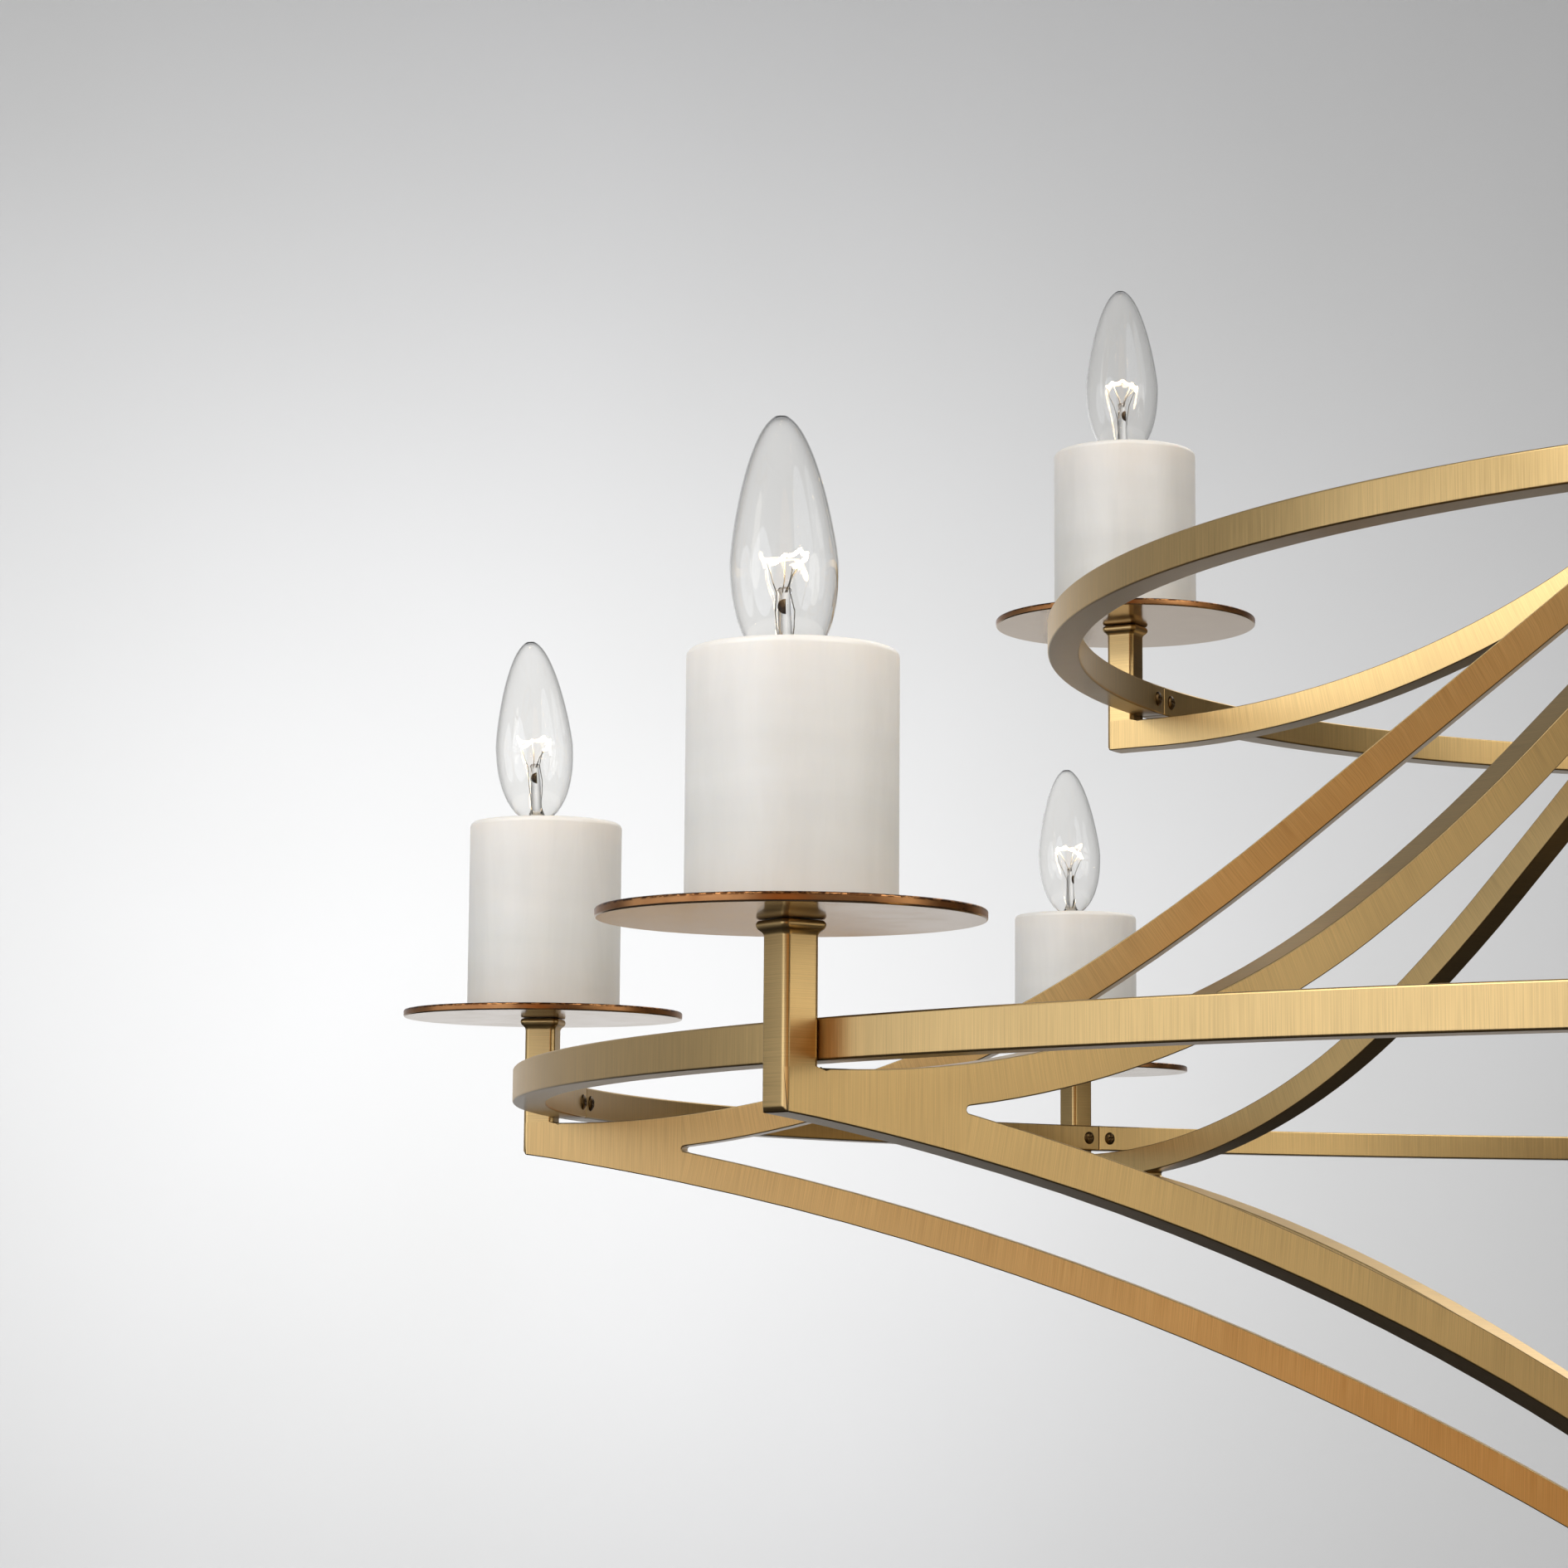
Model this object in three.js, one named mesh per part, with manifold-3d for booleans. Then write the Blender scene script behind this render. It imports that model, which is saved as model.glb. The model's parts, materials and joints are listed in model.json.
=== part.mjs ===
// Two-tier ring chandelier. A lower ring carries eight forked arms and an upper ring four single
// arms; every arm ends in a square post with a drip pan, a stone candle sleeve and a candelabra bulb.
// The arms meet two hubs on a centre column, and a down rod hangs the whole fixture from a two-axis
// swivel under the canopy. Millimetres, +Z up, origin where the ceiling bracket meets the ceiling.
import * as THREE from "three";
import { mergeVertices } from "three/addons/utils/BufferGeometryUtils.js";
import Module from "manifold-3d";

const wasm = await Module();
wasm.setup();

// ---- Driving dimensions ----
const GAP = 0.3; // clearance between neighbouring solids
const BAR = 12.7; // square bar of the rings, posts and arms
const HALF = BAR / 2;

const LOWER = { name: "lower", arms: 8, ringRadius: 610, height: -760, turn: 0, hubRadius: 52 };
const UPPER = { name: "upper", arms: 4, ringRadius: 403, height: LOWER.height + 184.5, turn: -20, hubRadius: 52 };

// Arm outline, measured inward (x) from the post's axis and up (y) from the ring's mid-plane.
const ARM_FOOT = -21.5; // lowest corner of the post
const ARM_TOP = -8.5; // top edge of the arm where it leaves the post, just under the ring
const SWEEP_START = 10; // where the upper branch begins to rise
const SWEEP_RADIUS = 400;
const SWEEP_ANGLE = THREE.MathUtils.degToRad(32.5);
const EASE_RADIUS = 820;
const EASE_ANGLE = THREE.MathUtils.degToRad(39.4);
const DROP_RADIUS = 1200; // bottom edge of the lower branch
const DROP_SLOPE = THREE.MathUtils.degToRad(8.5);
const DROP_HEIGHT = -22.3; // its height under the post's axis
const LOWER_BRANCH_HUB_RADIUS = 40;

// Candle, with heights above the ring's mid-plane.
const PAN_BOTTOM = 34.9;
const PAN_RADIUS = 58;
const PAN_THICKNESS = 3;
const PAN_TOP = PAN_BOTTOM + PAN_THICKNESS;
const BEAD_HEIGHT = 3.1; // the roll under the pan
const BEAD_PROUD = 1.75;
const BEAD_FILLET = 1.9; // the post's flare under the roll
const BEAD_NECK = 0.95; // how far the flare and the roll's ends stand proud
const SLEEVE_RADIUS = 31.75;
const SLEEVE_BORE = 19;
const SLEEVE_HEIGHT = 77.8;
const SLEEVE_EDGE = 3.5;
// The stone is cut and honed by hand: how much taller each candle's sleeve is, lower tier first.
const SLEEVE_TRIM = [0.4, -0.8, 0.9, 1.2, 1.2, -0.5, 0.2, -0.6, 0.6, -0.3, -1.4, 0.3];
const SOCKET_RADIUS = 10.5;
const SOCKET_BORE = 6.9;
const BULB_RADIUS = 16.35;
const BULB_ABOVE_SLEEVE = 74.5;
// The lampholders are bent up by hand: how much higher each bulb stands over its sleeve.
const BULB_TRIM = [0.6, -0.5, 1.0, 1.5, 1.5, -2.0, 0.3, -0.9, 0.8, -0.4, 1.0, 0.2];
const BULB_BELLY = 45; // depth of the widest point below the tip
const BULB_TAPER = 1.27; // exponent of the torpedo nose
const BULB_NECK = 32.8; // how fast the glass closes below the belly
const BULB_LENGTH = 98;
const BASE_LENGTH = 21;
const BASE_RADIUS = 5.95;

// Centre line of the fixture.
const COLUMN_RADIUS = 16;
const COLUMN_WALL = 2;
const ROD_RADIUS = 8;
const ROD_BORE = 5;
const SOCKET_DEPTH = 12; // how far a tube enters a hub
const TOP_HUB_MARGIN = 8; // a hub beyond the ends of the branches it holds
const BOTTOM_HUB_MARGIN = 7;
const HUB_EDGE = 3; // chamfer round a hub
const COLLAR_FOOT = 20; // radii of the top hub's collar
const COLLAR_HEAD = 15;
const STUD_RADIUS = 5; // joins the finial to the bottom hub
const FINIAL_LENGTH = 47;
const FINIAL_CAP = 25; // radius of its plate under the hub
const PIVOT_HEIGHT = -66;
const SWIVEL_CUBE = 15;
const PIN_RADIUS = 3;
const PIN_HOLE = 3.5;
const EAR_THICKNESS = 4;
const EAR_OFFSET = 9.5; // inner face of an ear from the axis
const EAR_WIDTH = 12;
const EAR_OVERSHOOT = 7; // ear past the pin's axis
const EAR_REACH = 12; // pin's axis to the yoke's plate
const YOKE_PLATE = 7;
const CANOPY_RADIUS = 75;
const CANOPY_DEPTH = 36;
const CANOPY_WALL = 1.6;
const BRACKET_LENGTH = 118;
const BRACKET_WIDTH = 24;
const BRACKET_THICKNESS = 4;
const NIPPLE_RADIUS = 6.5;
const SCREW_SPACING = 88.9; // between the two holes for the ceiling box's screws
const SCREW_HOLE = 2.6;

// Sides of the turned solids.
const CANDLE_SIDES = 16;
const BULB_SIDES = 10;
const HUB_SIDES = 16;
const CANOPY_SIDES = 24;

// ---- Materials ----
const COLOURS = {
  brass: [0xb0905a, 0.35, 1],
  pan: [0xb98a5c, 0.3, 1],
  stone: [0xe6e2d8, 0.45, 0],
  glass: [0xf2f4f6, 0.05, 0],
  steel: [0xa8abae, 0.4, 1],
};

function material(kind) {
  const [color, roughness, metalness] = COLOURS[kind];
  return new THREE.MeshStandardMaterial({ color, roughness, metalness });
}

// ---- Solid helpers ----
function toSolid(geometry) {
  const bare = geometry.clone();
  bare.deleteAttribute("normal");
  bare.deleteAttribute("uv");
  const merged = mergeVertices(bare, 1e-4);
  return new wasm.Manifold(
    new wasm.Mesh({
      numProp: 3,
      vertProperties: new Float32Array(merged.attributes.position.array),
      triVerts: new Uint32Array(merged.index.array),
    }),
  );
}

function toGeometry(solid) {
  const mesh = solid.getMesh();
  const geometry = new THREE.BufferGeometry();
  geometry.setAttribute("position", new THREE.BufferAttribute(mesh.vertProperties, 3));
  geometry.setIndex(new THREE.BufferAttribute(mesh.triVerts, 1));
  return geometry;
}

function join(...geometries) {
  const solids = geometries.map(toSolid);
  return toGeometry(solids.reduce((all, next) => all.add(next)));
}

function cut(geometry, ...tools) {
  return toGeometry(tools.map(toSolid).reduce((left, tool) => left.subtract(tool), toSolid(geometry)));
}

// A turned shape about +Z from [radius, height] pairs, listed with the solid on their left.
function turned(profile, segments) {
  const points = profile.map(([r, z]) => new THREE.Vector2(r, z));
  return new THREE.LatheGeometry(points, segments).rotateX(Math.PI / 2);
}

function turnedLoop(profile, segments) {
  return turned([...profile, profile[0]], segments);
}

function block(width, depth, height, x, y, z) {
  return new THREE.BoxGeometry(width, depth, height).translate(x, y, z);
}

function pin(axis, radius, length, segments = 16) {
  const rod = new THREE.CylinderGeometry(radius, radius, length, segments);
  return axis === "x" ? rod.rotateZ(Math.PI / 2) : rod;
}

const root = new THREE.Group();

function add(name, geometry, kind, parent = root) {
  const mesh = new THREE.Mesh(geometry, material(kind));
  mesh.name = name;
  parent.add(mesh);
  return mesh;
}

// ---- Arms ----
const sweepCentre = new THREE.Vector2(SWEEP_START, ARM_TOP + SWEEP_RADIUS);
const sweepEnd = new THREE.Vector2(
  sweepCentre.x + SWEEP_RADIUS * Math.sin(SWEEP_ANGLE),
  sweepCentre.y - SWEEP_RADIUS * Math.cos(SWEEP_ANGLE),
);
const easeCentre = new THREE.Vector2(
  sweepEnd.x - EASE_RADIUS * Math.sin(SWEEP_ANGLE),
  sweepEnd.y + EASE_RADIUS * Math.cos(SWEEP_ANGLE),
);
const dropCentre = new THREE.Vector2(
  -DROP_RADIUS * Math.sin(DROP_SLOPE),
  DROP_HEIGHT - DROP_RADIUS * Math.cos(DROP_SLOPE),
);

// A point on an edge of the upper branch, offset below its top edge.
function branchPoint(angle, offset) {
  const [centre, radius] = angle <= SWEEP_ANGLE ? [sweepCentre, SWEEP_RADIUS] : [easeCentre, EASE_RADIUS];
  return new THREE.Vector2(
    centre.x + (radius + offset) * Math.sin(angle),
    centre.y - (radius + offset) * Math.cos(angle),
  );
}

// The edge from a start angle to the straight run, then on to the hub at distance reach.
function risingEdge(offset, startAngle, reach) {
  const points = [];
  const sweepSteps = 6;
  for (let i = 0; i <= sweepSteps; i++) {
    points.push(branchPoint(startAngle + ((SWEEP_ANGLE - startAngle) * i) / sweepSteps, offset));
  }
  points.push(branchPoint((SWEEP_ANGLE + EASE_ANGLE) / 2, offset));
  const last = branchPoint(EASE_ANGLE, offset);
  points.push(last);
  points.push(new THREE.Vector2(reach, last.y + (reach - last.x) * Math.tan(EASE_ANGLE)));
  return points;
}

// Height of a concentric edge of the lower branch.
function dropHeight(x, offset) {
  return dropCentre.y + Math.sqrt((DROP_RADIUS + offset) ** 2 - (x - dropCentre.x) ** 2);
}

function droppingEdge(offset, from, to, steps) {
  return Array.from({ length: steps + 1 }, (_, i) => {
    const x = from + ((to - from) * i) / steps;
    return new THREE.Vector2(x, dropHeight(x, offset));
  });
}

// Where the two branches part: the upper branch's lower edge meets the lower branch's upper edge.
function crotchAngle() {
  let low = 0;
  let high = SWEEP_ANGLE;
  for (let i = 0; i < 40; i++) {
    const middle = (low + high) / 2;
    const point = branchPoint(middle, BAR);
    if (point.y < dropHeight(point.x, BAR)) low = middle;
    else high = middle;
  }
  return high;
}

function armOutline(tier) {
  const postRadius = tier.ringRadius + HALF;
  const upperReach = postRadius - tier.hubRadius;
  const postTop = PAN_BOTTOM - BEAD_HEIGHT;
  const postSide = [new THREE.Vector2(HALF, ARM_TOP), new THREE.Vector2(HALF, postTop)];
  postSide.push(new THREE.Vector2(-HALF, postTop), new THREE.Vector2(-HALF, ARM_FOOT));
  const topEdge = risingEdge(0, 0, upperReach).reverse();
  if (tier === UPPER) {
    const lowerEdge = risingEdge(BAR, 0, upperReach);
    return [...lowerEdge, ...topEdge, ...postSide];
  }
  const lowerReach = postRadius - LOWER_BRANCH_HUB_RADIUS;
  const start = crotchAngle();
  const crotch = branchPoint(start, BAR);
  const underside = droppingEdge(0, 0, lowerReach, 12);
  const insideLower = droppingEdge(BAR, crotch.x, lowerReach, 12).reverse();
  const insideUpper = risingEdge(BAR, start, upperReach).slice(1);
  return [...underside, ...insideLower, ...insideUpper, ...topEdge, ...postSide];
}

// The bead around the post's top is a four-sided turned shape, its corners on the post's corners.
function beadCollar() {
  const toCorner = Math.SQRT2;
  const flare = PAN_BOTTOM - BEAD_HEIGHT;
  const insidePost = 0.1;
  const profile = [
    [0, flare - BEAD_FILLET],
    [(HALF - insidePost) * toCorner, flare - BEAD_FILLET],
    [(HALF + BEAD_NECK) * toCorner, flare],
    [(HALF + BEAD_PROUD) * toCorner, PAN_BOTTOM - 0.7 * BEAD_HEIGHT],
    [(HALF + BEAD_PROUD) * toCorner, PAN_BOTTOM - 0.3 * BEAD_HEIGHT],
    [(HALF + BEAD_NECK) * toCorner, PAN_BOTTOM - GAP],
    [0, PAN_BOTTOM - GAP],
  ];
  return turned(profile, 4).rotateZ(Math.PI / 4);
}

function armGeometry(tier) {
  const shape = new THREE.Shape(armOutline(tier));
  const plate = new THREE.ExtrudeGeometry(shape, { depth: BAR, bevelEnabled: false });
  plate.translate(0, 0, -HALF).rotateX(Math.PI / 2);
  return join(plate, beadCollar());
}

// ---- Rings: two half rings a tier, meeting behind opposite posts ----
function halfRingGeometry(tier) {
  const outer = tier.ringRadius - GAP;
  const inner = tier.ringRadius - BAR;
  const seam = GAP / 2 / outer;
  const shape = new THREE.Shape();
  shape.absarc(0, 0, outer, seam, Math.PI - seam, false);
  shape.absarc(0, 0, inner, Math.PI - seam, seam, true);
  const options = { depth: BAR, bevelEnabled: false, curveSegments: tier.arms * 3 };
  return new THREE.ExtrudeGeometry(shape, options).translate(0, 0, -HALF);
}

// ---- Candles ----
function panGeometry(bulbTip) {
  const socketTop = bulbTip - BULB_LENGTH + BASE_LENGTH;
  const socketFloor = socketTop - BASE_LENGTH - 1;
  const profile = [
    [0, PAN_BOTTOM],
    [PAN_RADIUS, PAN_BOTTOM],
    [PAN_RADIUS, PAN_TOP],
    [SOCKET_RADIUS, PAN_TOP],
    [SOCKET_RADIUS, socketTop],
    [SOCKET_BORE, socketTop],
    [SOCKET_BORE, socketFloor],
    [0, socketFloor],
  ];
  return turned(profile, CANDLE_SIDES);
}

function sleeveGeometry(sleeveTop) {
  const floor = PAN_TOP + GAP;
  const soft = SLEEVE_EDGE * (1 - Math.SQRT1_2);
  const profile = [
    [SLEEVE_BORE, floor],
    [SLEEVE_RADIUS, floor],
    [SLEEVE_RADIUS, sleeveTop - SLEEVE_EDGE],
    [SLEEVE_RADIUS - soft, sleeveTop - soft],
    [SLEEVE_RADIUS - SLEEVE_EDGE, sleeveTop],
    [SLEEVE_BORE, sleeveTop],
  ];
  return turnedLoop(profile, CANDLE_SIDES);
}

// Radius of the glass at a depth below the tip.
function bulbRadius(depth) {
  const fromBelly = 1 - depth / BULB_BELLY;
  if (depth < BULB_BELLY) return BULB_RADIUS * Math.sqrt(1 - fromBelly ** BULB_TAPER);
  return BULB_RADIUS * Math.sqrt(1 - ((depth - BULB_BELLY) / BULB_NECK) ** 2);
}

function bulbGeometry(tip) {
  const foot = tip - BULB_LENGTH;
  const shoulder = foot + BASE_LENGTH;
  const depths = [74, 63, BULB_BELLY, 28, 13, 3];
  const profile = [
    [0, foot],
    [BASE_RADIUS * 0.6, foot],
    [BASE_RADIUS, foot + 3],
    [BASE_RADIUS, shoulder],
    ...depths.map((depth) => [bulbRadius(depth), tip - depth]),
    [0, tip],
  ];
  return turned(profile, BULB_SIDES);
}

// ---- One tier: ring halves, arms and candles ----
const candles = [];

function buildTier(tier) {
  const ring = new THREE.Group();
  ring.position.z = tier.height;
  root.add(ring);
  for (const half of [0, 1]) {
    const mesh = add(`${tier.name}_ring_${half ? "back" : "front"}`, halfRingGeometry(tier), "brass", ring);
    mesh.rotation.z = THREE.MathUtils.degToRad(tier.turn + 180 * (1 - half));
  }
  const geometry = armGeometry(tier);
  for (let i = 0; i < tier.arms; i++) {
    const azimuth = THREE.MathUtils.degToRad(tier.turn + (360 / tier.arms) * i);
    const station = new THREE.Group();
    const postRadius = tier.ringRadius + HALF;
    station.position.set(postRadius * Math.cos(azimuth), postRadius * Math.sin(azimuth), tier.height);
    station.rotation.z = azimuth + Math.PI;
    root.add(station);
    add(`${tier.name}_arm_${i + 1}`, geometry, "brass", station);
    candles.push(station);
  }
}

buildTier(LOWER);
buildTier(UPPER);

candles.forEach((station, index) => {
  const sleeveTop = PAN_TOP + SLEEVE_HEIGHT + SLEEVE_TRIM[index];
  const bulbTip = sleeveTop + BULB_ABOVE_SLEEVE + BULB_TRIM[index];
  add(`drip_pan_${index + 1}`, panGeometry(bulbTip), "pan", station);
  add(`candle_sleeve_${index + 1}`, sleeveGeometry(sleeveTop), "stone", station);
  add(`bulb_${index + 1}`, bulbGeometry(bulbTip), "glass", station);
});

// ---- Hubs and centre column ----
const straightRise = (tier) => {
  const points = risingEdge(0, 0, tier.ringRadius + HALF - tier.hubRadius);
  return tier.height + points[points.length - 1].y;
};
const branchDepth = BAR / Math.cos(EASE_ANGLE);
const topHubTop = straightRise(UPPER) + TOP_HUB_MARGIN;
const topHubBottom = straightRise(LOWER) - branchDepth - TOP_HUB_MARGIN;
const dropEnd = LOWER.ringRadius + HALF - LOWER_BRANCH_HUB_RADIUS;
const bottomHubTop = LOWER.height + dropHeight(dropEnd, BAR) + BOTTOM_HUB_MARGIN;
const bottomHubBottom = LOWER.height + dropHeight(dropEnd, 0) - BOTTOM_HUB_MARGIN;
const topHubRadius = UPPER.hubRadius - GAP;
const bottomHubRadius = LOWER_BRANCH_HUB_RADIUS - GAP;
const rodFoot = topHubTop + 2;

function topHubGeometry() {
  const profile = [
    [COLUMN_RADIUS + GAP, topHubBottom],
    [topHubRadius - HUB_EDGE, topHubBottom],
    [topHubRadius, topHubBottom + HUB_EDGE],
    [topHubRadius, topHubTop - HUB_EDGE],
    [topHubRadius - HUB_EDGE, topHubTop],
    [COLLAR_FOOT, topHubTop],
    [COLLAR_HEAD, topHubTop + SOCKET_DEPTH],
    [ROD_RADIUS + GAP, topHubTop + SOCKET_DEPTH],
    [ROD_RADIUS + GAP, rodFoot - GAP],
    [ROD_BORE, rodFoot - GAP],
    [ROD_BORE, topHubBottom + SOCKET_DEPTH + GAP],
    [COLUMN_RADIUS + GAP, topHubBottom + SOCKET_DEPTH + GAP],
  ];
  return turnedLoop(profile, HUB_SIDES);
}

function bottomHubGeometry() {
  const profile = [
    [STUD_RADIUS + GAP, bottomHubBottom],
    [bottomHubRadius - HUB_EDGE, bottomHubBottom],
    [bottomHubRadius, bottomHubBottom + HUB_EDGE],
    [bottomHubRadius, bottomHubTop - HUB_EDGE],
    [bottomHubRadius - HUB_EDGE, bottomHubTop],
    [COLUMN_RADIUS + GAP, bottomHubTop],
    [COLUMN_RADIUS + GAP, bottomHubTop - SOCKET_DEPTH],
    [STUD_RADIUS + GAP, bottomHubTop - SOCKET_DEPTH],
  ];
  return turnedLoop(profile, HUB_SIDES);
}

function columnGeometry() {
  const foot = bottomHubTop - SOCKET_DEPTH + GAP;
  const head = topHubBottom + SOCKET_DEPTH;
  const bore = COLUMN_RADIUS - COLUMN_WALL;
  const profile = [
    [bore, foot],
    [COLUMN_RADIUS, foot],
    [COLUMN_RADIUS, head],
    [bore, head],
  ];
  return turnedLoop(profile, HUB_SIDES);
}

function finialGeometry() {
  const top = bottomHubBottom - GAP;
  const profile = [
    [0, top - FINIAL_LENGTH],
    [6, top - FINIAL_LENGTH + 1.5],
    [11, top - 40],
    [12.5, top - 33],
    [11, top - 26],
    [6, top - 20],
    [5, top - 16],
    [9, top - 12],
    [18, top - 8],
    [FINIAL_CAP, top - 5],
    [FINIAL_CAP, top],
    [STUD_RADIUS, top],
    [STUD_RADIUS, top + SOCKET_DEPTH],
    [0, top + SOCKET_DEPTH],
  ];
  return turned(profile, HUB_SIDES);
}

add("top_hub", topHubGeometry(), "brass");
add("bottom_hub", bottomHubGeometry(), "brass");
add("centre_column", columnGeometry(), "brass");
add("finial", finialGeometry(), "brass");

// ---- Swivel: a yoke above, a cross of two pins, and a yoke below turned a quarter ----
// direction is +1 for a yoke whose plate is above the pivot and -1 for one below it.
function yokeGeometry(axis, direction) {
  const plateHeight = PIVOT_HEIGHT + direction * (EAR_REACH + YOKE_PLATE / 2);
  const plateWidth = 2 * (EAR_OFFSET + EAR_THICKNESS);
  const earHeight = EAR_OVERSHOOT + EAR_REACH + 1;
  const earMiddle = PIVOT_HEIGHT + (direction * (EAR_REACH + 1 - EAR_OVERSHOOT)) / 2;
  const spread = EAR_OFFSET + EAR_THICKNESS / 2;
  const pieces = [block(plateWidth, EAR_WIDTH, YOKE_PLATE, 0, 0, plateHeight)];
  for (const side of [-1, 1]) {
    pieces.push(block(EAR_THICKNESS, EAR_WIDTH, earHeight, side * spread, 0, earMiddle));
  }
  const hole = pin("x", PIN_HOLE, 4 * EAR_OFFSET).translate(0, 0, PIVOT_HEIGHT);
  const yoke = cut(join(...pieces), hole);
  return axis === "x" ? yoke : yoke.rotateZ(Math.PI / 2);
}

function swivelGeometry() {
  const pinLength = 2 * (EAR_OFFSET + EAR_THICKNESS - 0.5);
  const cube = block(SWIVEL_CUBE, SWIVEL_CUBE, SWIVEL_CUBE, 0, 0, 0);
  const cross = join(cube, pin("x", PIN_RADIUS, pinLength, 12), pin("y", PIN_RADIUS, pinLength, 12));
  return cross.translate(0, 0, PIVOT_HEIGHT);
}

function bracketGeometry() {
  const bar = block(BRACKET_LENGTH, BRACKET_WIDTH, BRACKET_THICKNESS, 0, 0, -BRACKET_THICKNESS / 2);
  const nippleFoot = PIVOT_HEIGHT + EAR_REACH + YOKE_PLATE - 1;
  const nippleProfile = [
    [0, nippleFoot],
    [NIPPLE_RADIUS, nippleFoot],
    [NIPPLE_RADIUS, -1],
    [0, -1],
  ];
  const holes = [-1, 1].map((side) =>
    pin("y", SCREW_HOLE, 3 * BRACKET_THICKNESS, 10)
      .rotateX(Math.PI / 2)
      .translate((side * SCREW_SPACING) / 2, 0, 0),
  );
  return cut(join(bar, turned(nippleProfile, 16), yokeGeometry("x", 1)), ...holes);
}

function canopyGeometry() {
  const hole = NIPPLE_RADIUS + 1;
  const roll = 8; // rounding where the skirt meets the plate
  const outline = (inset) => {
    const radius = CANOPY_RADIUS - inset;
    const floor = -CANOPY_DEPTH + inset;
    return [
      [hole, floor],
      [radius - roll, floor],
      [radius - roll * 0.3, floor + roll * 0.3],
      [radius, floor + roll],
      [radius, 0],
    ];
  };
  return turnedLoop([...outline(0), ...outline(CANOPY_WALL).reverse()], CANOPY_SIDES);
}

function downRodGeometry() {
  const head = PIVOT_HEIGHT - EAR_REACH - YOKE_PLATE + 1;
  const profile = [
    [0, rodFoot],
    [ROD_RADIUS, rodFoot],
    [ROD_RADIUS, head],
    [0, head],
  ];
  return join(turned(profile, 16), yokeGeometry("y", -1));
}

add("ceiling_bracket", bracketGeometry(), "steel");
add("canopy", canopyGeometry(), "brass");
add("swivel_cross", swivelGeometry(), "brass");
add("down_rod", downRodGeometry(), "brass");

export default root;
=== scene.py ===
"""Two-tier ring chandelier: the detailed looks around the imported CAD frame. Metres, row frame."""
import json
from math import asin, atan, atan2, cos, degrees, hypot, pi, radians, sin, sqrt, tan

import bmesh
import bpy
from mathutils import Matrix, Vector

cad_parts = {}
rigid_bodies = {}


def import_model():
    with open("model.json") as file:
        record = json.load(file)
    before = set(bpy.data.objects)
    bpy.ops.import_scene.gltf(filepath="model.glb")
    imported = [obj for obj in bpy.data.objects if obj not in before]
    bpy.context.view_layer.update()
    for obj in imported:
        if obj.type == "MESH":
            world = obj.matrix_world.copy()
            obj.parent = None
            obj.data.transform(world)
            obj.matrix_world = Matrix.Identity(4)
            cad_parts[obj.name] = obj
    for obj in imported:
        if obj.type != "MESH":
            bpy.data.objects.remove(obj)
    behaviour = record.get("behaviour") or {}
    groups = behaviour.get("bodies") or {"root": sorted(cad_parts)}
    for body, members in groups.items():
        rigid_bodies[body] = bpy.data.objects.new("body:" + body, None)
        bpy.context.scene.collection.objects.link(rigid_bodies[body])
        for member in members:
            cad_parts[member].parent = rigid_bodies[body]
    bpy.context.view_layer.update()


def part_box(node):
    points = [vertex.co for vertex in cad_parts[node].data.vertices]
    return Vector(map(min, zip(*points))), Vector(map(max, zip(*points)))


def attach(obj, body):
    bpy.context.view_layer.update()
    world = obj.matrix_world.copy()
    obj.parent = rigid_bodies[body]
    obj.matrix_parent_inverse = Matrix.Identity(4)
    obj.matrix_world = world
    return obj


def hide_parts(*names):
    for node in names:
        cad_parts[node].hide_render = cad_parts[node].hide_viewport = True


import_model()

MM = 0.001
LOWER_ARMS = 8
UPPER_ARMS = 4
CANDLES = LOWER_ARMS + UPPER_ARMS

# Shape of an arm, in millimetres, as the CAD has it: x inward from the post, z up from the ring's middle.
BAR = 12.7
HALF = BAR / 2
ROUNDING = 0.45
CHAMFER = 1.3
RING_ROUNDING = 0.8
ARM_FOOT = -21.5
ARM_TOP = -8.5
SWEEP_START, SWEEP_RADIUS, SWEEP_ANGLE = 10.0, 400.0, radians(32.5)
EASE_RADIUS, EASE_ANGLE = 820.0, radians(39.4)
DROP_RADIUS, DROP_SLOPE, DROP_HEIGHT = 1200.0, radians(8.5), -22.3
CROTCH_GAP = 2.4
HUB_BITE = 1.2


# ---- places from the frame
def span(node, axis=2):
    """The node's lowest and highest coordinate along an axis, in millimetres."""
    return [corner[axis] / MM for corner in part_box(node)]


def middle(node, axis=2):
    return sum(span(node, axis)) / 2


def half_width(node):
    low, high = span(node, 0)
    return (high - low) / 2


def shift(x, y, z):
    """A move by a distance in millimetres."""
    return Matrix.Translation((x * MM, y * MM, z * MM))


def spin(angle, axis="Z"):
    return Matrix.Rotation(angle, 4, axis)


class Station:
    """One post: its place in the row frame, and the heights over its ring of what stands on it."""

    def __init__(self, number):
        self.number = number
        self.tier = "lower" if number <= LOWER_ARMS else "upper"
        self.arm_number = number if self.tier == "lower" else number - LOWER_ARMS
        x, y = (middle(f"bulb_{number}", axis) for axis in (0, 1))
        self.radius = hypot(x, y)
        self.azimuth = atan2(y, x)
        self.ring_z = middle(f"{self.tier}_ring_front")
        self.matrix = shift(x, y, self.ring_z) @ spin(self.azimuth + pi)
        nodes = ("drip_pan", "candle_sleeve", "bulb")
        levels = [[z - self.ring_z for z in span(f"{node}_{number}")] for node in nodes]
        self.pan_bottom, self.socket_top = levels[0]
        self.sleeve_bottom, self.sleeve_top = levels[1]
        self.bulb_foot, self.bulb_tip = levels[2]


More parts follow.
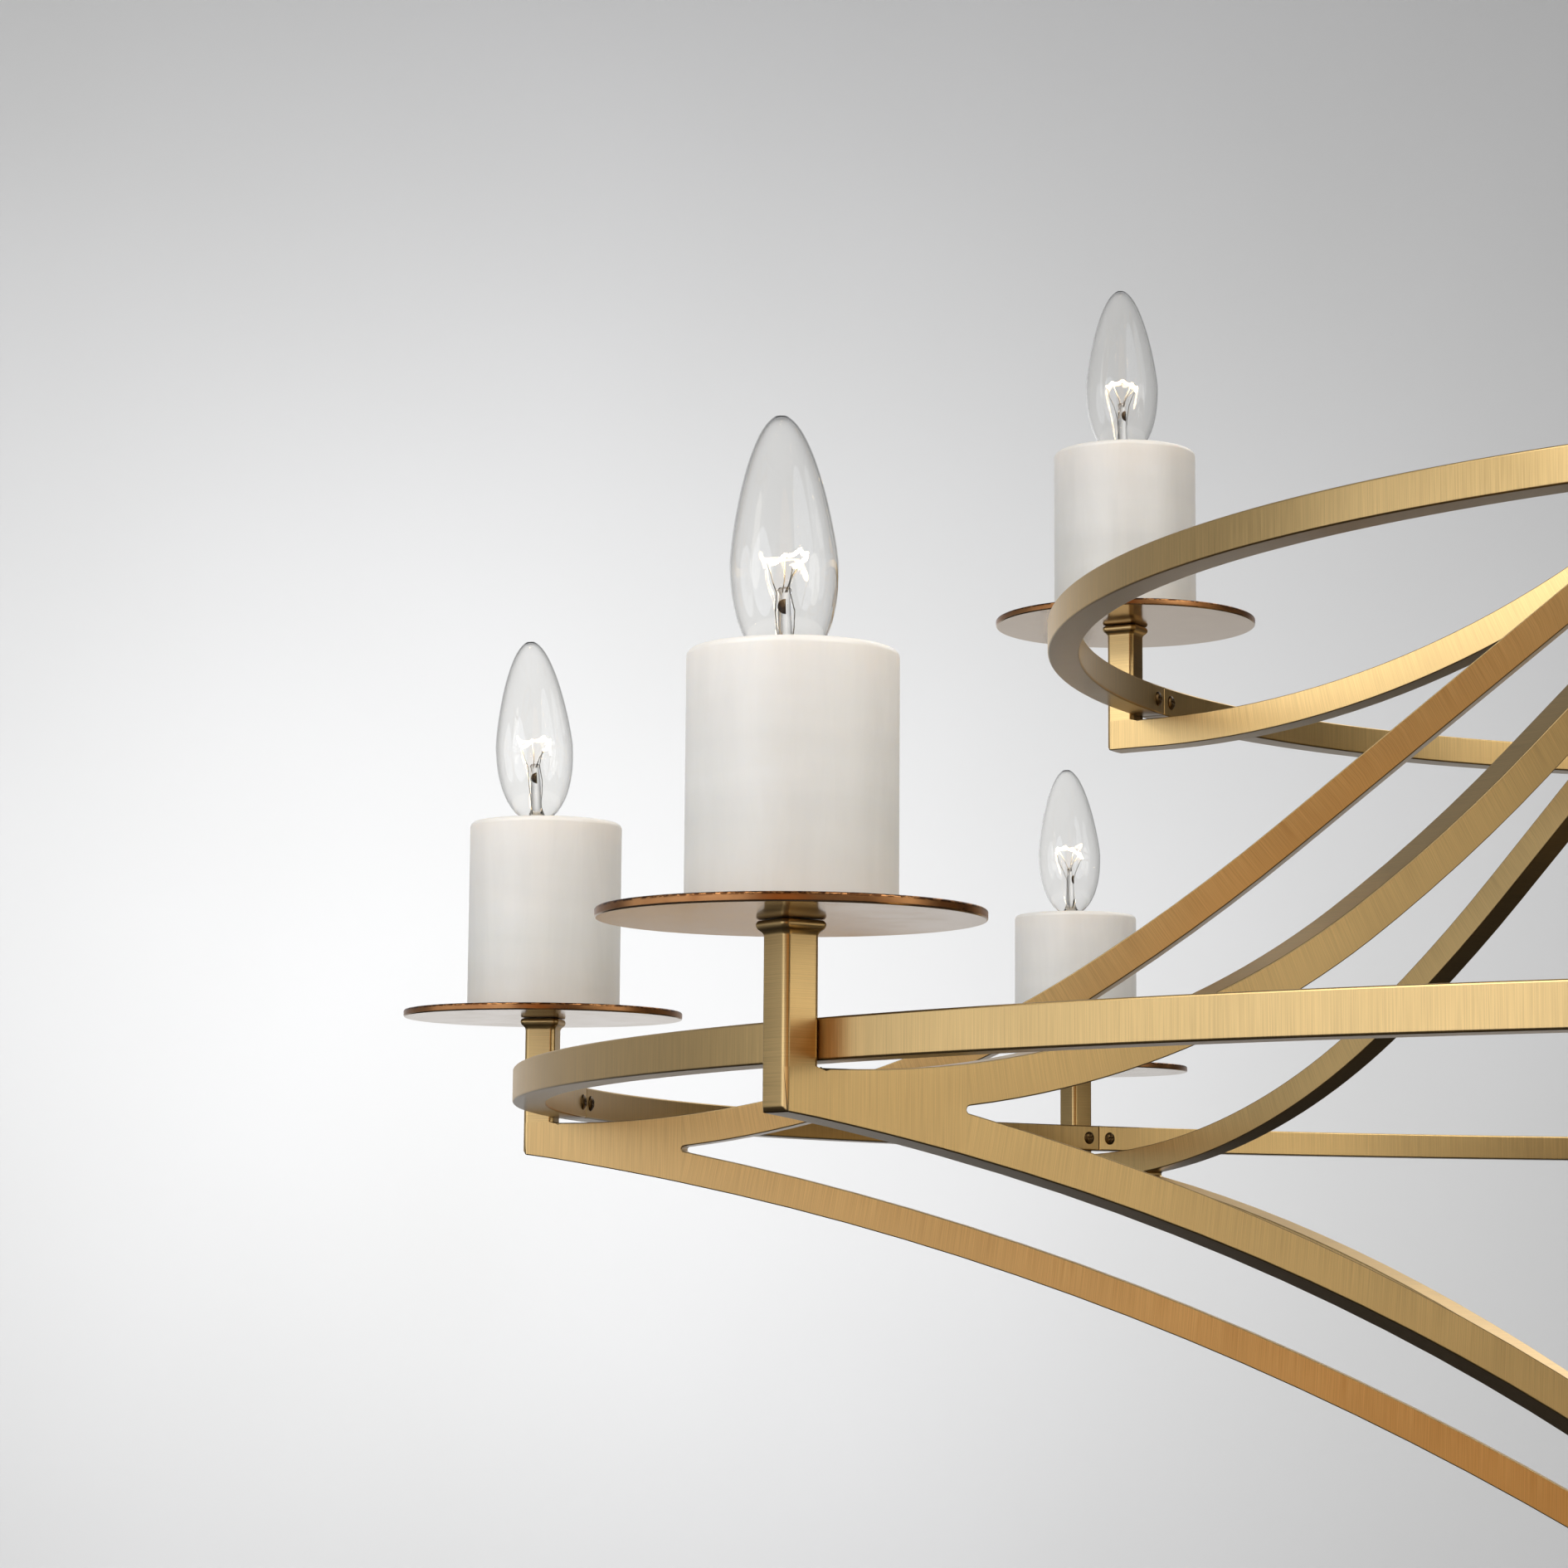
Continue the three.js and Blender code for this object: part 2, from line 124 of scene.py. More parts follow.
stations = [Station(number) for number in range(1, CANDLES + 1)]
tiers = {tier: [s for s in stations if s.tier == tier] for tier in ("lower", "upper")}
first = stations[0]
PAN_RADIUS = half_width("drip_pan_1")
SLEEVE_RADIUS = half_width("candle_sleeve_1")
TOP_HUB_RADIUS = half_width("top_hub")
BOTTOM_HUB_RADIUS = half_width("bottom_hub")
WASHER = 0.3
PAN_THICKNESS = first.sleeve_bottom - first.pan_bottom - WASHER


# ---- mesh helpers (millimetres in)
def new_object(name, data, matrix=None):
    piece = bpy.data.objects.new(name, data)
    bpy.context.scene.collection.objects.link(piece)
    piece.matrix_world = matrix or Matrix()
    return piece


def settle(thing, **values):
    """The thing after its attributes are set."""
    for key, value in values.items():
        setattr(thing, key, value)
    return thing


def with_material(mesh, *materials):
    for material in materials:
        mesh.materials.append(material)
    return mesh


def new_mesh(name, points, faces, grains=None):
    """A mesh from points in millimetres. grains gives each face's corners their UVs, in millimetres too."""
    mesh = bpy.data.meshes.new(name)
    mesh.from_pydata([tuple(c * MM for c in p) for p in points], [], faces)
    if grains:
        layer = mesh.uv_layers.new(name="grain")
        for polygon in mesh.polygons:
            for corner, loop in enumerate(polygon.loop_indices):
                u, v = grains[polygon.index][corner]
                layer.data[loop].uv = (u * MM, v * MM)
    mesh.shade_smooth()
    mesh.validate()
    return mesh


def outward(bm):
    bmesh.ops.recalc_face_normals(bm, faces=bm.faces)


def edited(mesh, change=outward):
    """The mesh after change(bm), which turns its faces outward unless another is given."""
    bm = bmesh.new()
    bm.from_mesh(mesh)
    change(bm)
    bm.to_mesh(mesh)
    bm.free()
    return mesh


def finished(mesh, bevel=0.0, segments=3, angle=32.0, weighted=True, chamfer=0.0, edge_slot=-1):
    """The mesh with its marked edges chamfered, its edges rounded and its flats shaded flat, as a new mesh.

    With edge_slot, the square edges' roundings take that material slot; the chamfers' edges do not.
    """
    piece = new_object("work", mesh)

    def modify(kind, **values):
        settle(piece.modifiers.new(kind, kind), **values)

    if chamfer:
        cut = {"width": chamfer * MM, "segments": 1, "limit_method": "WEIGHT"}
        modify("BEVEL", use_clamp_overlap=False, **cut)
    passes = [(70.0, edge_slot, 3), (angle, -1, segments)] if edge_slot >= 0 else [(angle, -1, segments)]
    for limit, slot, steps in passes if bevel else []:
        cut = {"width": bevel * MM, "segments": steps, "limit_method": "ANGLE", "angle_limit": radians(limit)}
        modify("BEVEL", use_clamp_overlap=False, material=slot, **cut)
    if weighted:
        modify("WEIGHTED_NORMAL", mode="FACE_AREA", weight=50)
    graph = bpy.context.evaluated_depsgraph_get()
    result = piece.evaluated_get(graph)
    made = bpy.data.meshes.new_from_object(result, preserve_all_data_layers=True, depsgraph=graph)
    made.name = mesh.name
    bpy.data.objects.remove(piece)
    return made


def distances(points):
    """How far each point of a line is along it."""
    along = [0.0]
    for (x0, z0), (x1, z1) in zip(points, points[1:]):
        along.append(along[-1] + hypot(x1 - x0, z1 - z0))
    return along


def turned(name, profile, segments, material=None, loop=False, weighted=True):
    """A lathe mesh about Z. profile is [(radius, z)] with the solid on its left; loop closes it on itself."""
    rows = list(profile) + ([profile[0]] if loop else [])
    lengths = distances(rows)
    points, index = [], []
    for r, z in profile:
        count = segments if r else 1
        index.append([len(points) + k % count for k in range(segments + 1)])
        turns = [2 * pi * k / segments for k in range(count)]
        points += [(r * cos(a), r * sin(a), z) for a in turns]
    index.append(index[0])
    faces, uvs = [], []
    for row in range(len(rows) - 1):
        around = 2 * pi * max(rows[row][0], rows[row + 1][0]) / segments
        for k in range(segments):
            kept = {}
            for level, step in ((row, k), (row, k + 1), (row + 1, k + 1), (row + 1, k)):
                kept.setdefault(index[level][step], (step * around, lengths[level]))
            if len(kept) > 2:
                faces.append(list(kept))
                uvs.append(list(kept.values()))
    mesh = finished(new_mesh(name, points, faces, uvs), weighted=weighted)
    return with_material(mesh, material) if material else mesh


def lifted(base, *rows):
    """Points of a profile whose heights are given over a base."""
    return [(r, base + z) for r, z in rows]


def arc(centre_r, centre_z, radius, start, end, steps):
    """Points of a round stretch of a profile, angles in degrees from the +r direction."""
    turn = [radians(start + (end - start) * k / steps) for k in range(steps + 1)]
    return [(centre_r + radius * cos(a), centre_z + radius * sin(a)) for a in turn]


def tube(name, path, radius, sides, material):
    """A round wire through points in millimetres, closed at both ends."""
    path = [Vector(p) for p in path]
    points, faces = [], []
    side = Vector((1, 0, 0))
    for k, p in enumerate(path):
        ahead = path[min(k + 1, len(path) - 1)] - path[max(k - 1, 0)]
        ahead.normalize()
        side = side - ahead * side.dot(ahead)
        if side.length < 1e-3:
            side = Vector((0, 1, 0)) - ahead * ahead.y
        side.normalize()
        other = ahead.cross(side)
        for s in range(sides):
            a = 2 * pi * s / sides
            points.append(p + (side * cos(a) + other * sin(a)) * radius)
    last = len(points) - sides
    for start in range(0, last, sides):
        for s in range(sides):
            a, b = start + s, start + (s + 1) % sides
            faces.append([a, b, b + sides, a + sides])
    faces.append(list(range(sides))[::-1])
    faces.append([last + s for s in range(sides)])
    return with_material(new_mesh(name, points, faces), material)


def add(name, mesh, matrix, *nodes, body="fixture", slot="brushed_brass"):
    """A new piece of the object on its body; the CAD nodes that it replaces are hidden. slot is not used."""
    piece = new_object(name, mesh, matrix)
    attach(piece, body)
    if nodes:
        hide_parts(*nodes)


# ---- node material helpers
class Shader:
    """A Principled material whose inputs take values or other nodes' outputs."""

    def __init__(self, name, **values):
        self.material = bpy.data.materials.new(name)
        self.material.use_nodes = True
        self.nodes = self.material.node_tree.nodes
        self.links = self.material.node_tree.links
        self.principled = self.nodes["Principled BSDF"]
        for key, value in values.items():
            self.set(key.replace("_", " "), value)

    def feed(self, socket, value):
        if isinstance(value, bpy.types.NodeSocket):
            self.links.new(value, socket)
        else:
            socket.default_value = value

    def set(self, socket, value):
        self.feed(self.principled.inputs[socket], value)

    def node(self, kind, inputs=None, **settings):
        made = settle(self.nodes.new("ShaderNode" + kind), **settings)
        for key, value in (inputs or {}).items():
            self.feed(made.inputs[key], value)
        return made

    def math(self, operation, a, b=0.0, c=0.0):
        return self.node("Math", {0: a, 1: b, 2: c}, operation=operation).outputs[0]

    def times(self, a, *others):
        for b in others:
            a = self.math("MULTIPLY", a, b)
        return a

    def coordinates(self, kind, scale=(1, 1, 1)):
        if kind == "grain":
            source = self.node("UVMap", uv_map="grain").outputs[0]
        else:
            source = self.node("TexCoord").outputs[kind]
        return self.node("Mapping", {"Vector": source, "Scale": scale}).outputs[0]

    def noise(self, coordinates, scale, detail=3.0, rough=0.5, distortion=0.0):
        inputs = {"Vector": coordinates, "Scale": scale, "Detail": detail}
        inputs.update({"Roughness": rough, "Distortion": distortion})
        return self.node("TexNoise", inputs).outputs["Fac"]

    def spots(self, scale, detail, rough, stretch=(1, 1, 1)):
        """Noise that is fixed to the object."""
        return self.noise(self.coordinates("Object", stretch), scale, detail, rough)

    def ramp(self, value, *stops):
        """A colour that follows the value. Each stop is a place and a colour, in hex digits or linear."""
        made = self.node("ValToRGB", {"Fac": value})
        elements = made.color_ramp.elements
        while len(elements) < len(stops):
            elements.new(0.5)
        for element, (place, colour) in zip(elements, stops):
            element.position = place
            element.color = (*(linear(colour) if isinstance(colour, str) else colour), 1)
        return made.outputs["Color"]

    def paint(self, value, *stops):
        self.set("Base Color", self.ramp(value, *stops))

    def mix(self, factor, a, b, blend="MIX"):
        inputs = {0: factor, 6: a, 7: b}
        return self.node("Mix", inputs, data_type="RGBA", blend_type=blend).outputs[2]

    def range(self, value, low, high, to_low, to_high):
        inputs = {"Value": value, "From Min": low, "From Max": high, "To Min": to_low, "To Max": to_high}
        return self.node("MapRange", inputs).outputs[0]

    def bump(self, height, strength, distance):
        inputs = {"Height": height, "Strength": strength, "Distance": distance}
        self.set("Normal", self.node("Bump", inputs).outputs[0])


def linear(code):
    """A colour written as six hex digits, as linear values."""
    channels = [int(code[k : k + 2], 16) / 255 for k in (0, 2, 4)]
    return tuple(c / 12.92 if c <= 0.04045 else ((c + 0.055) / 1.055) ** 2.4 for c in channels)


def brushed(name, tone, roughness, across=1, painted_darkening=1.0):
    """Brass brushed in fine lines along the grain's second coordinate (its first when across is 0).

    Faces that look down are darkened: painted shade, standing in for the dark surroundings they reflect.
    """
    shader = Shader(name, Metallic=1.0, Anisotropic=0.5, Coat_Weight=0.22, Coat_Roughness=0.2)
    shader.set("Specular Tint", (1.0, 0.95, 0.88, 1))
    turn = (lambda fine, long: (fine, long, 1)) if across else (lambda fine, long: (long, fine, 1))
    fine = shader.noise(shader.coordinates("grain", turn(3400, 40)), 1.0, 1.0, 0.5)
    broad = shader.noise(shader.coordinates("grain", turn(1900, 30)), 1.0, 1.0, 0.5)
    cloud = shader.spots(16.0, 3.0, 0.55)
    lines = shader.math("MULTIPLY_ADD", fine, 0.65, shader.times(broad, 0.35))
    shade = shader.range(lines, 0.36, 0.64, 0.885, 1.095)
    clouded = shader.range(cloud, 0.3, 0.7, 0.93, 1.05)
    facing = shader.node("SeparateXYZ", {0: shader.node("TexCoord").outputs["Normal"]})
    # Painted shade: faces that look down are darkened, standing in for the dark surroundings they reflect.
    under = shader.range(facing.outputs[2], -0.85, -0.35, UNDERSIDE_SHADE, 1.0)
    # The last factor darkens a whole finish: painted shade, used on the rounded square edges.
    shade = shader.times(shade, clouded, under, painted_darkening)
    grey = shader.node("CombineColor", {0: shade, 1: shade, 2: shade}).outputs[0]
    shader.set("Base Color", shader.mix(1.0, (*tone, 1), grey, "MULTIPLY"))
    shader.set("Roughness", shader.range(lines, 0.3, 0.7, roughness - 0.03, roughness + 0.04))
    shader.bump(lines, 0.09, 0.00006)
    tangent = shader.node("Tangent", direction_type="UV_MAP", uv_map="grain")
    shader.set("Tangent", tangent.outputs[0])
    return shader.material


# How dark the downward faces are painted, as painted shade.
UNDERSIDE_SHADE = 0.45
# How dark the rounded square edges are painted, as painted shade.
EDGE_SHADE = 0.55
BRASS_TONE = (0.6, 0.415, 0.176)
brass = brushed("brushed_brass", BRASS_TONE, 0.31)
# The rounded square edges' finish, darker all over: painted shade along the edges.
brass_edge = brushed("brass_edge", BRASS_TONE, 0.38, painted_darkening=EDGE_SHADE)
turned_brass = brushed("turned_brass", BRASS_TONE, 0.3, across=0)


def pan_metal():
    """Satin metal: beige below, coppery on the rim and above, with small dark specks along the rim's top
    edge.
    """
    shader = Shader("pan_metal", Metallic=1.0)
    place = shader.node("TexCoord").outputs["Object"]
    parts = shader.node("SeparateXYZ", {0: place})
    squares = [shader.math("POWER", parts.outputs[k], 2.0) for k in (0, 1)]
    radius = shader.math("SQRT", shader.math("ADD", *squares))
    bottom = first.pan_bottom * MM
    above = shader.range(parts.outputs[2], bottom + 0.0002, bottom + 0.0006, 0.0, 1.0)
    swirl = shader.spots(60.0, 3.0, 0.55)
    under = shader.ramp(swirl, (0.3, "AC9272"), (0.7, "BDA68A"))
    copper = shader.ramp(swirl, (0.3, "8A5C38"), (0.7, "B08052"))
    specks = shader.spots(420.0, 4.0, 0.65, (1, 1, 2.5))
    dark = shader.range(specks, 0.44, 0.53, 0.0, 1.0)
    edge = shader.range(radius, (PAN_RADIUS - 3) * MM, (PAN_RADIUS - 0.5) * MM, 0.0, 1.0)
    high = shader.range(parts.outputs[2], bottom + 0.0019, bottom + 0.0024, 0.0, 1.0)
    spotted = shader.times(dark, edge, high)
    specked = shader.mix(spotted, copper, (*linear("3E2412"), 1))
    shader.set("Base Color", shader.mix(above, under, specked))
    peel = shader.spots(700.0, 2.0, 0.5)
    satin = shader.times(above, 0.16)
    shader.set("Roughness", shader.math("ADD", shader.range(swirl, 0.3, 0.7, 0.11, 0.17), satin))
    shader.bump(peel, 0.14, 0.0001)
    return shader.material


def alabaster(name, tone):
    """Honed stone, warm white above and cooler below, with faint upright veins and a soft inner glow."""
    shader = Shader(name, Roughness=0.42, IOR=1.52, Subsurface_Weight=0.35, Subsurface_Scale=0.01)
    shader.set("Subsurface Radius", (1.0, 0.85, 0.65))
    own = shader.node("ObjectInfo").outputs["Random"]
    place = shader.node("TexCoord").outputs["Object"]
    own_place = shader.node("CombineXYZ", {0: own, 1: own, 2: own}).outputs[0]
    shifted = shader.node("VectorMath", {0: place, 1: own_place}, operation="ADD").outputs[0]
    stretched = shader.node("Mapping", {"Vector": shifted, "Scale": (1, 1, 0.16)}).outputs[0]
    veins = shader.noise(stretched, 95.0, 4.0, 0.6, 0.6)
    clouds = shader.noise(shifted, 22.0, 3.0, 0.5, 0.8)
    parts = shader.node("SeparateXYZ", {0: place})
    rise = shader.range(parts.outputs[2], first.sleeve_bottom * MM, first.sleeve_top * MM, 0.0, 1.0)
    wander = shader.math("MULTIPLY_ADD", shader.math("SUBTRACT", clouds, 0.5), 0.5, rise)
    shades = ((0.0, "D3D4CE"), (0.45, "D9D8D3"), (0.85, "E2DFD9"), (1.0, "E6E1D9"))
    body = shader.ramp(wander, *shades)
    layered = shader.node("Mapping", {"Vector": shifted, "Scale": (0.15, 0.15, 1)}).outputs[0]
    layers = shader.range(shader.noise(layered, 45.0, 3.0, 0.5, 0.4), 0.35, 0.65, 0.965, 1.02)
    # tone darkens the whole stone: painted shade on the copies for candles set farther back.
    milk = shader.times(shader.range(veins, 0.35, 0.7, 0.965 * tone, 1.02 * tone), layers)
    milky = shader.node("CombineColor", {0: milk, 1: milk, 2: milk}).outputs[0]
    shader.set("Base Color", shader.mix(1.0, body, milky, "MULTIPLY"))
    shader.bump(veins, 0.04, 0.0004)
    return shader.material


def clear_glass():
    shader = Shader("bulb_glass", Roughness=0.015, IOR=1.42, Transmission_Weight=1.0)
    place = shader.spots(60.0, 2.0, 0.5, (1, 1, 0.3))
    shader.paint(place, (0.3, (0.965, 0.962, 0.95)), (0.7, (0.985, 0.983, 0.975)))
    shader.bump(place, 0.05, 0.0003)
    return shader.material


def plain_metal(name, dark, light, roughness, metallic=1.0, scale=900.0, bump=0.1):
    """A small part's finish: fine mottling in colour, roughness and height."""
    shader = Shader(name, Metallic=metallic)
    spots = shader.spots(scale, 3.0, 0.6)
    shader.paint(spots, (0.3, dark), (0.7, light))
    shader.set("Roughness", shader.range(spots, 0.3, 0.7, roughness - 0.06, roughness + 0.06))
    shader.bump(spots, bump, 0.0001)
    return shader.material


def glowing():
    """The lit filament: near white, a little warmer where the coil is cooler."""
    shader = Shader("lit_filament", Roughness=0.4)
    spots = shader.spots(600.0, 2.0, 0.5)
    shader.paint(spots, (0.3, (1.0, 0.8, 0.5)), (0.7, (1.0, 0.9, 0.7)))
    shader.set("Emission Color", shader.ramp(spots, (0.3, (1.0, 0.72, 0.38)), (0.7, (1.0, 0.86, 0.62))))
    shader.set("Emission Strength", 130.0)
    return shader.material


pan_finish = pan_metal()
# Lighter and darker copies of one stone; the darker ones are painted shade for candles set farther back.
stone_shading = {"alabaster_light": 1.0, "alabaster_mid": 0.955, "alabaster_grey": 0.9}
stones = [alabaster(name, tone) for name, tone in stone_shading.items()]
glass = clear_glass()
filament_finish = glowing()
wire_metal = plain_metal("nickel_wire", "6E6A64", "A6A29A", 0.3)
screw_metal = plain_metal("aged_screw", "3E3022", "66502F", 0.36)
nickel = plain_metal("nickel_shell", "A8A296", "C9C4B8", 0.26)
insulator = plain_metal("black_insulator", "15130F", "2A2620", 0.35, metallic=0.0)
porcelain = plain_metal("lampholder_white", "D8D2C4", "E9E5DA", 0.4, metallic=0.0, scale=300.0)
zinc = plain_metal("zinc_plate", "6C6F73", "8E9296", 0.44, scale=260.0)
getter = plain_metal("getter_spot", "2B2118", "4A3B2C", 0.5, metallic=0.3)


# ---- arms
sweep_centre = Vector((SWEEP_START, ARM_TOP + SWEEP_RADIUS))
sweep_end = sweep_centre + SWEEP_RADIUS * Vector((sin(SWEEP_ANGLE), -cos(SWEEP_ANGLE)))
ease_centre = sweep_end + EASE_RADIUS * Vector((-sin(SWEEP_ANGLE), cos(SWEEP_ANGLE)))
drop_centre = Vector((-sin(DROP_SLOPE), -cos(DROP_SLOPE))) * DROP_RADIUS + Vector((0, DROP_HEIGHT))


def rise_point(angle, offset):
    """A point of the upper branch, offset below its top edge."""
    centre, radius = (sweep_centre, SWEEP_RADIUS) if angle <= SWEEP_ANGLE else (ease_centre, EASE_RADIUS)
    return centre + (radius + offset) * Vector((sin(angle), -cos(angle)))


def drop_point(angle, offset):
    """A point of the lower branch, offset above its bottom edge."""
    return drop_centre + (DROP_RADIUS + offset) * Vector((sin(angle), cos(angle)))


def drop_angle(x, offset):
    return asin((x - drop_centre.x) / (DROP_RADIUS + offset))


def crotch_x():
    """How far inward the two branches part by the crotch's gap, and their facing edges' heights there."""
    x = 50.0
    while True:
        rise_z = sweep_centre.y - sqrt((SWEEP_RADIUS + BAR) ** 2 - (x - sweep_centre.x) ** 2)
        drop_z = drop_point(drop_angle(x, BAR), BAR).y
        if rise_z - drop_z > CROTCH_GAP:
            return x, rise_z, drop_z
        x += 0.1


def rise_rows(start_angle, reach):
    """Pairs of top and bottom points along the upper branch, ending on the hub."""
    steps = 26
    rows = []
    for k in range(steps + 1):
        angle = start_angle + (EASE_ANGLE - start_angle) * k / steps
        rows.append((rise_point(angle, 0), rise_point(angle, BAR)))
    top, bottom = rows[-1]
    for share in (0.25, 0.5, 0.75, 1.0):
        moves = [(reach - p.x) * share for p in (top, bottom)]
        rows.append([p + Vector((x, x * tan(EASE_ANGLE))) for p, x in zip((top, bottom), moves)])
    return rows


class Outline:
    """A flat pattern of points and faces in the arm's own plane, with grain coordinates for each corner."""

    def __init__(self):
        self.points, self.faces, self.grain = [], [], []

    def point(self, p):
        self.points.append(tuple(p))
        return len(self.points) - 1

    def face(self, corners, grain=None):
        self.faces.append(list(corners))
        self.grain.append(grain or [self.points[c] for c in corners])

    def strip(self, rows, start):
        """Quads between rows of top and bottom points, whose numbers it returns; the grain runs along it."""
        tops, bottoms = ([self.point(row[side]) for row in rows] for side in (0, 1))
        along = start
        for k in range(len(rows) - 1):
            ahead = along + (rows[k + 1][1] - rows[k][1]).length
            grain = [(along, 0), (ahead, 0), (ahead, BAR), (along, BAR)]
            self.face([bottoms[k], bottoms[k + 1], tops[k + 1], tops[k]], grain)
            along = ahead
        return tops, bottoms


def bead_profile():
    """How far the bead collar stands proud of the post, and its depth below the pan: a roll over a fillet."""
    fillet = [(0.0, 5.0), (0.07, 4.5), (0.25, 4.0), (0.58, 3.5), (0.95, 3.1)]
    roll = [(1.2, 2.95), (1.5, 2.5), (1.72, 1.95), (1.78, 1.4), (1.68, 0.85), (1.42, 0.4), (1.0, 0.12)]
    return fillet + roll


def arm_outline(tier, post_radius):
    """The arm's pattern of foot, branches and post, and the numbers of the post's two top points."""
    plan = Outline()
    post_top = first.pan_bottom - bead_profile()[0][1]
    upper_reach = post_radius - TOP_HUB_RADIUS + HUB_BITE
    foot = plan.point((-HALF, ARM_FOOT))
    post_left, post_right = plan.point((-HALF, ARM_TOP)), plan.point((HALF, ARM_TOP))
    top_left, top_right = plan.point((-HALF, post_top)), plan.point((HALF, post_top))
    post_grain = [(ARM_TOP, 0), (ARM_TOP, BAR), (post_top, BAR), (post_top, 0)]
    if tier == "lower":
        x, rise_z, drop_z = crotch_x()
        start_angle = asin((x - sweep_centre.x) / (SWEEP_RADIUS + BAR))
        tops, bottoms = plan.strip(rise_rows(start_angle, upper_reach), x)
        lower_reach = post_radius - BOTTOM_HUB_RADIUS + HUB_BITE
        steps = 24
        first_angle = drop_angle(x, BAR)
        last_bottom, last_top = drop_angle(lower_reach, 0), drop_angle(lower_reach, BAR)
        rows = []
        for k in range(steps + 1):
            top_angle = first_angle + (last_top - first_angle) * k / steps
            bottom_angle = first_angle + (last_bottom - first_angle) * k / steps
            rows.append((drop_point(top_angle, BAR), drop_point(bottom_angle, 0)))
        branch_tops, branch_bottoms = plan.strip(rows, x)
        crotch = []
        for k in range(1, 6):
            turn = pi * k / 6
            reach = CROTCH_GAP * 0.55 * sin(turn)
            height = (rise_z + drop_z) / 2 - CROTCH_GAP / 2 * cos(turn)
            crotch.append(plan.point((x - reach, height)))
        under = [drop_angle(-HALF + 0.01 + (x - 1 + HALF) * k / 6, 0) for k in range(1, 6)]
        underside = [plan.point(drop_point(angle, 0)) for angle in under]
        over = [plan.point(rise_point(start_angle * k / 5, 0)) for k in range(4, -1, -1)]
        root = [foot, *underside, branch_bottoms[0], branch_tops[0], *crotch, bottoms[0], tops[0], *over]
        plan.face([*root, post_right, post_left])
    else:
        tops, bottoms = plan.strip(rise_rows(0.0, upper_reach), SWEEP_START)
        plan.face([foot, bottoms[0], tops[0], post_right, post_left])
    plan.face([post_left, post_right, top_right, top_left], post_grain)
    return plan, (top_left, top_right)


def arm_mesh(tier, post_radius):
    """The pattern given the bar's thickness, with the square bead collar round the post's top."""
    plan, top_edge = arm_outline(tier, post_radius)
    count = len(plan.points)
    points = [(x, -HALF, z) for x, z in plan.points] + [(x, HALF, z) for x, z in plan.points]
    faces, grains = [], []
    used = {}
    for face, grain in zip(plan.faces, plan.grain):
        faces += [face, [c + count for c in reversed(face)]]
        grains += [grain, grain[::-1]]
        for a, b, ga, gb in zip(face, face[1:] + face[:1], grain, grain[1:] + grain[:1]):
            used[(a, b)] = (ga, gb)
    for (a, b), (ga, gb) in used.items():
        if (b, a) in used or {a, b} == set(top_edge):
            continue
        faces.append([b, a, a + count, b + count])
        along = (ga[0], gb[0]) if abs(ga[0] - gb[0]) > 1e-6 else (ga[1], gb[1])
        grains.append([(along[1], 0), (along[0], 0), (along[0], BAR), (along[1], BAR)])
    left, right = top_edge
    previous = [left, right, right + count, left + count]
    rise = first.pan_bottom - bead_profile()[0][1]
    for proud, depth in bead_profile()[1:]:
        w, z = HALF + proud, first.pan_bottom - depth
        ring = [len(points) + k for k in range(4)]
        points += [(-w, -w, z), (w, -w, z), (w, w, z), (-w, w, z)]
        for k in range(4):
            j = (k + 1) % 4
            faces.append([previous[k], previous[j], ring[j], ring[k]])
            grains.append([(rise, 0), (rise, BAR), (z, BAR), (z, 0)])
        previous, rise = ring, z
    faces.append(previous)
    grains.append([(0, 0), (BAR, 0), (BAR, BAR), (0, BAR)])
    mesh = new_mesh(f"{tier}_arm_bar", points, faces, grains)
    # The second slot, on the rounded square edges, takes the darkened finish: painted shade.
    mesh = with_material(edited(mesh, mark_chamfers), brass, brass_edge)
    return finished(mesh, ROUNDING, 2, chamfer=CHAMFER, edge_slot=1)


def mark_chamfers(bm):
    """Faces outward, and a weight on the edges that are chamfered: the post's upright ones and its foot."""
    outward(bm)
    weight = bm.edges.layers.float.new("bevel_weight_edge")
    for edge in bm.edges:
        a, b = (v.co / MM for v in edge.verts)
        upright = abs(a.z - b.z) > 0.05 and min(a.z, b.z) > ARM_FOOT - 1
        at_corner = abs(abs(a.x) - abs(a.y)) < 0.01 and abs(abs(b.x) - abs(b.y)) < 0.01
        tall = upright and at_corner and min(abs(a.x), abs(b.x)) >= HALF - 0.01
        if tall or max(abs(p.z - ARM_FOOT) + abs(p.x + HALF) for p in (a, b)) < 0.05:
            edge[weight] = 1.0


def build_arms():
    for tier, posts in tiers.items():
        mesh = arm_mesh(tier, posts[0].radius)
        for s in posts:
            arm = f"{tier}_arm_{s.arm_number}"
            add(f"{arm}_bar", mesh, s.matrix, arm)


# ---- rings and their screws
def rounded_square(side, radius, steps=3):
    """The points of a square bar's section with rounded corners, anticlockwise."""
    reach = side / 2 - radius
    points = []
    for corner, (sx, sz) in enumerate(((1, 1), (-1, 1), (-1, -1), (1, -1))):
        for k in range(steps + 1):
            a = pi / 2 * (corner + k / steps)
            points.append((sx * reach + radius * cos(a), sz * reach + radius * sin(a)))
    return points


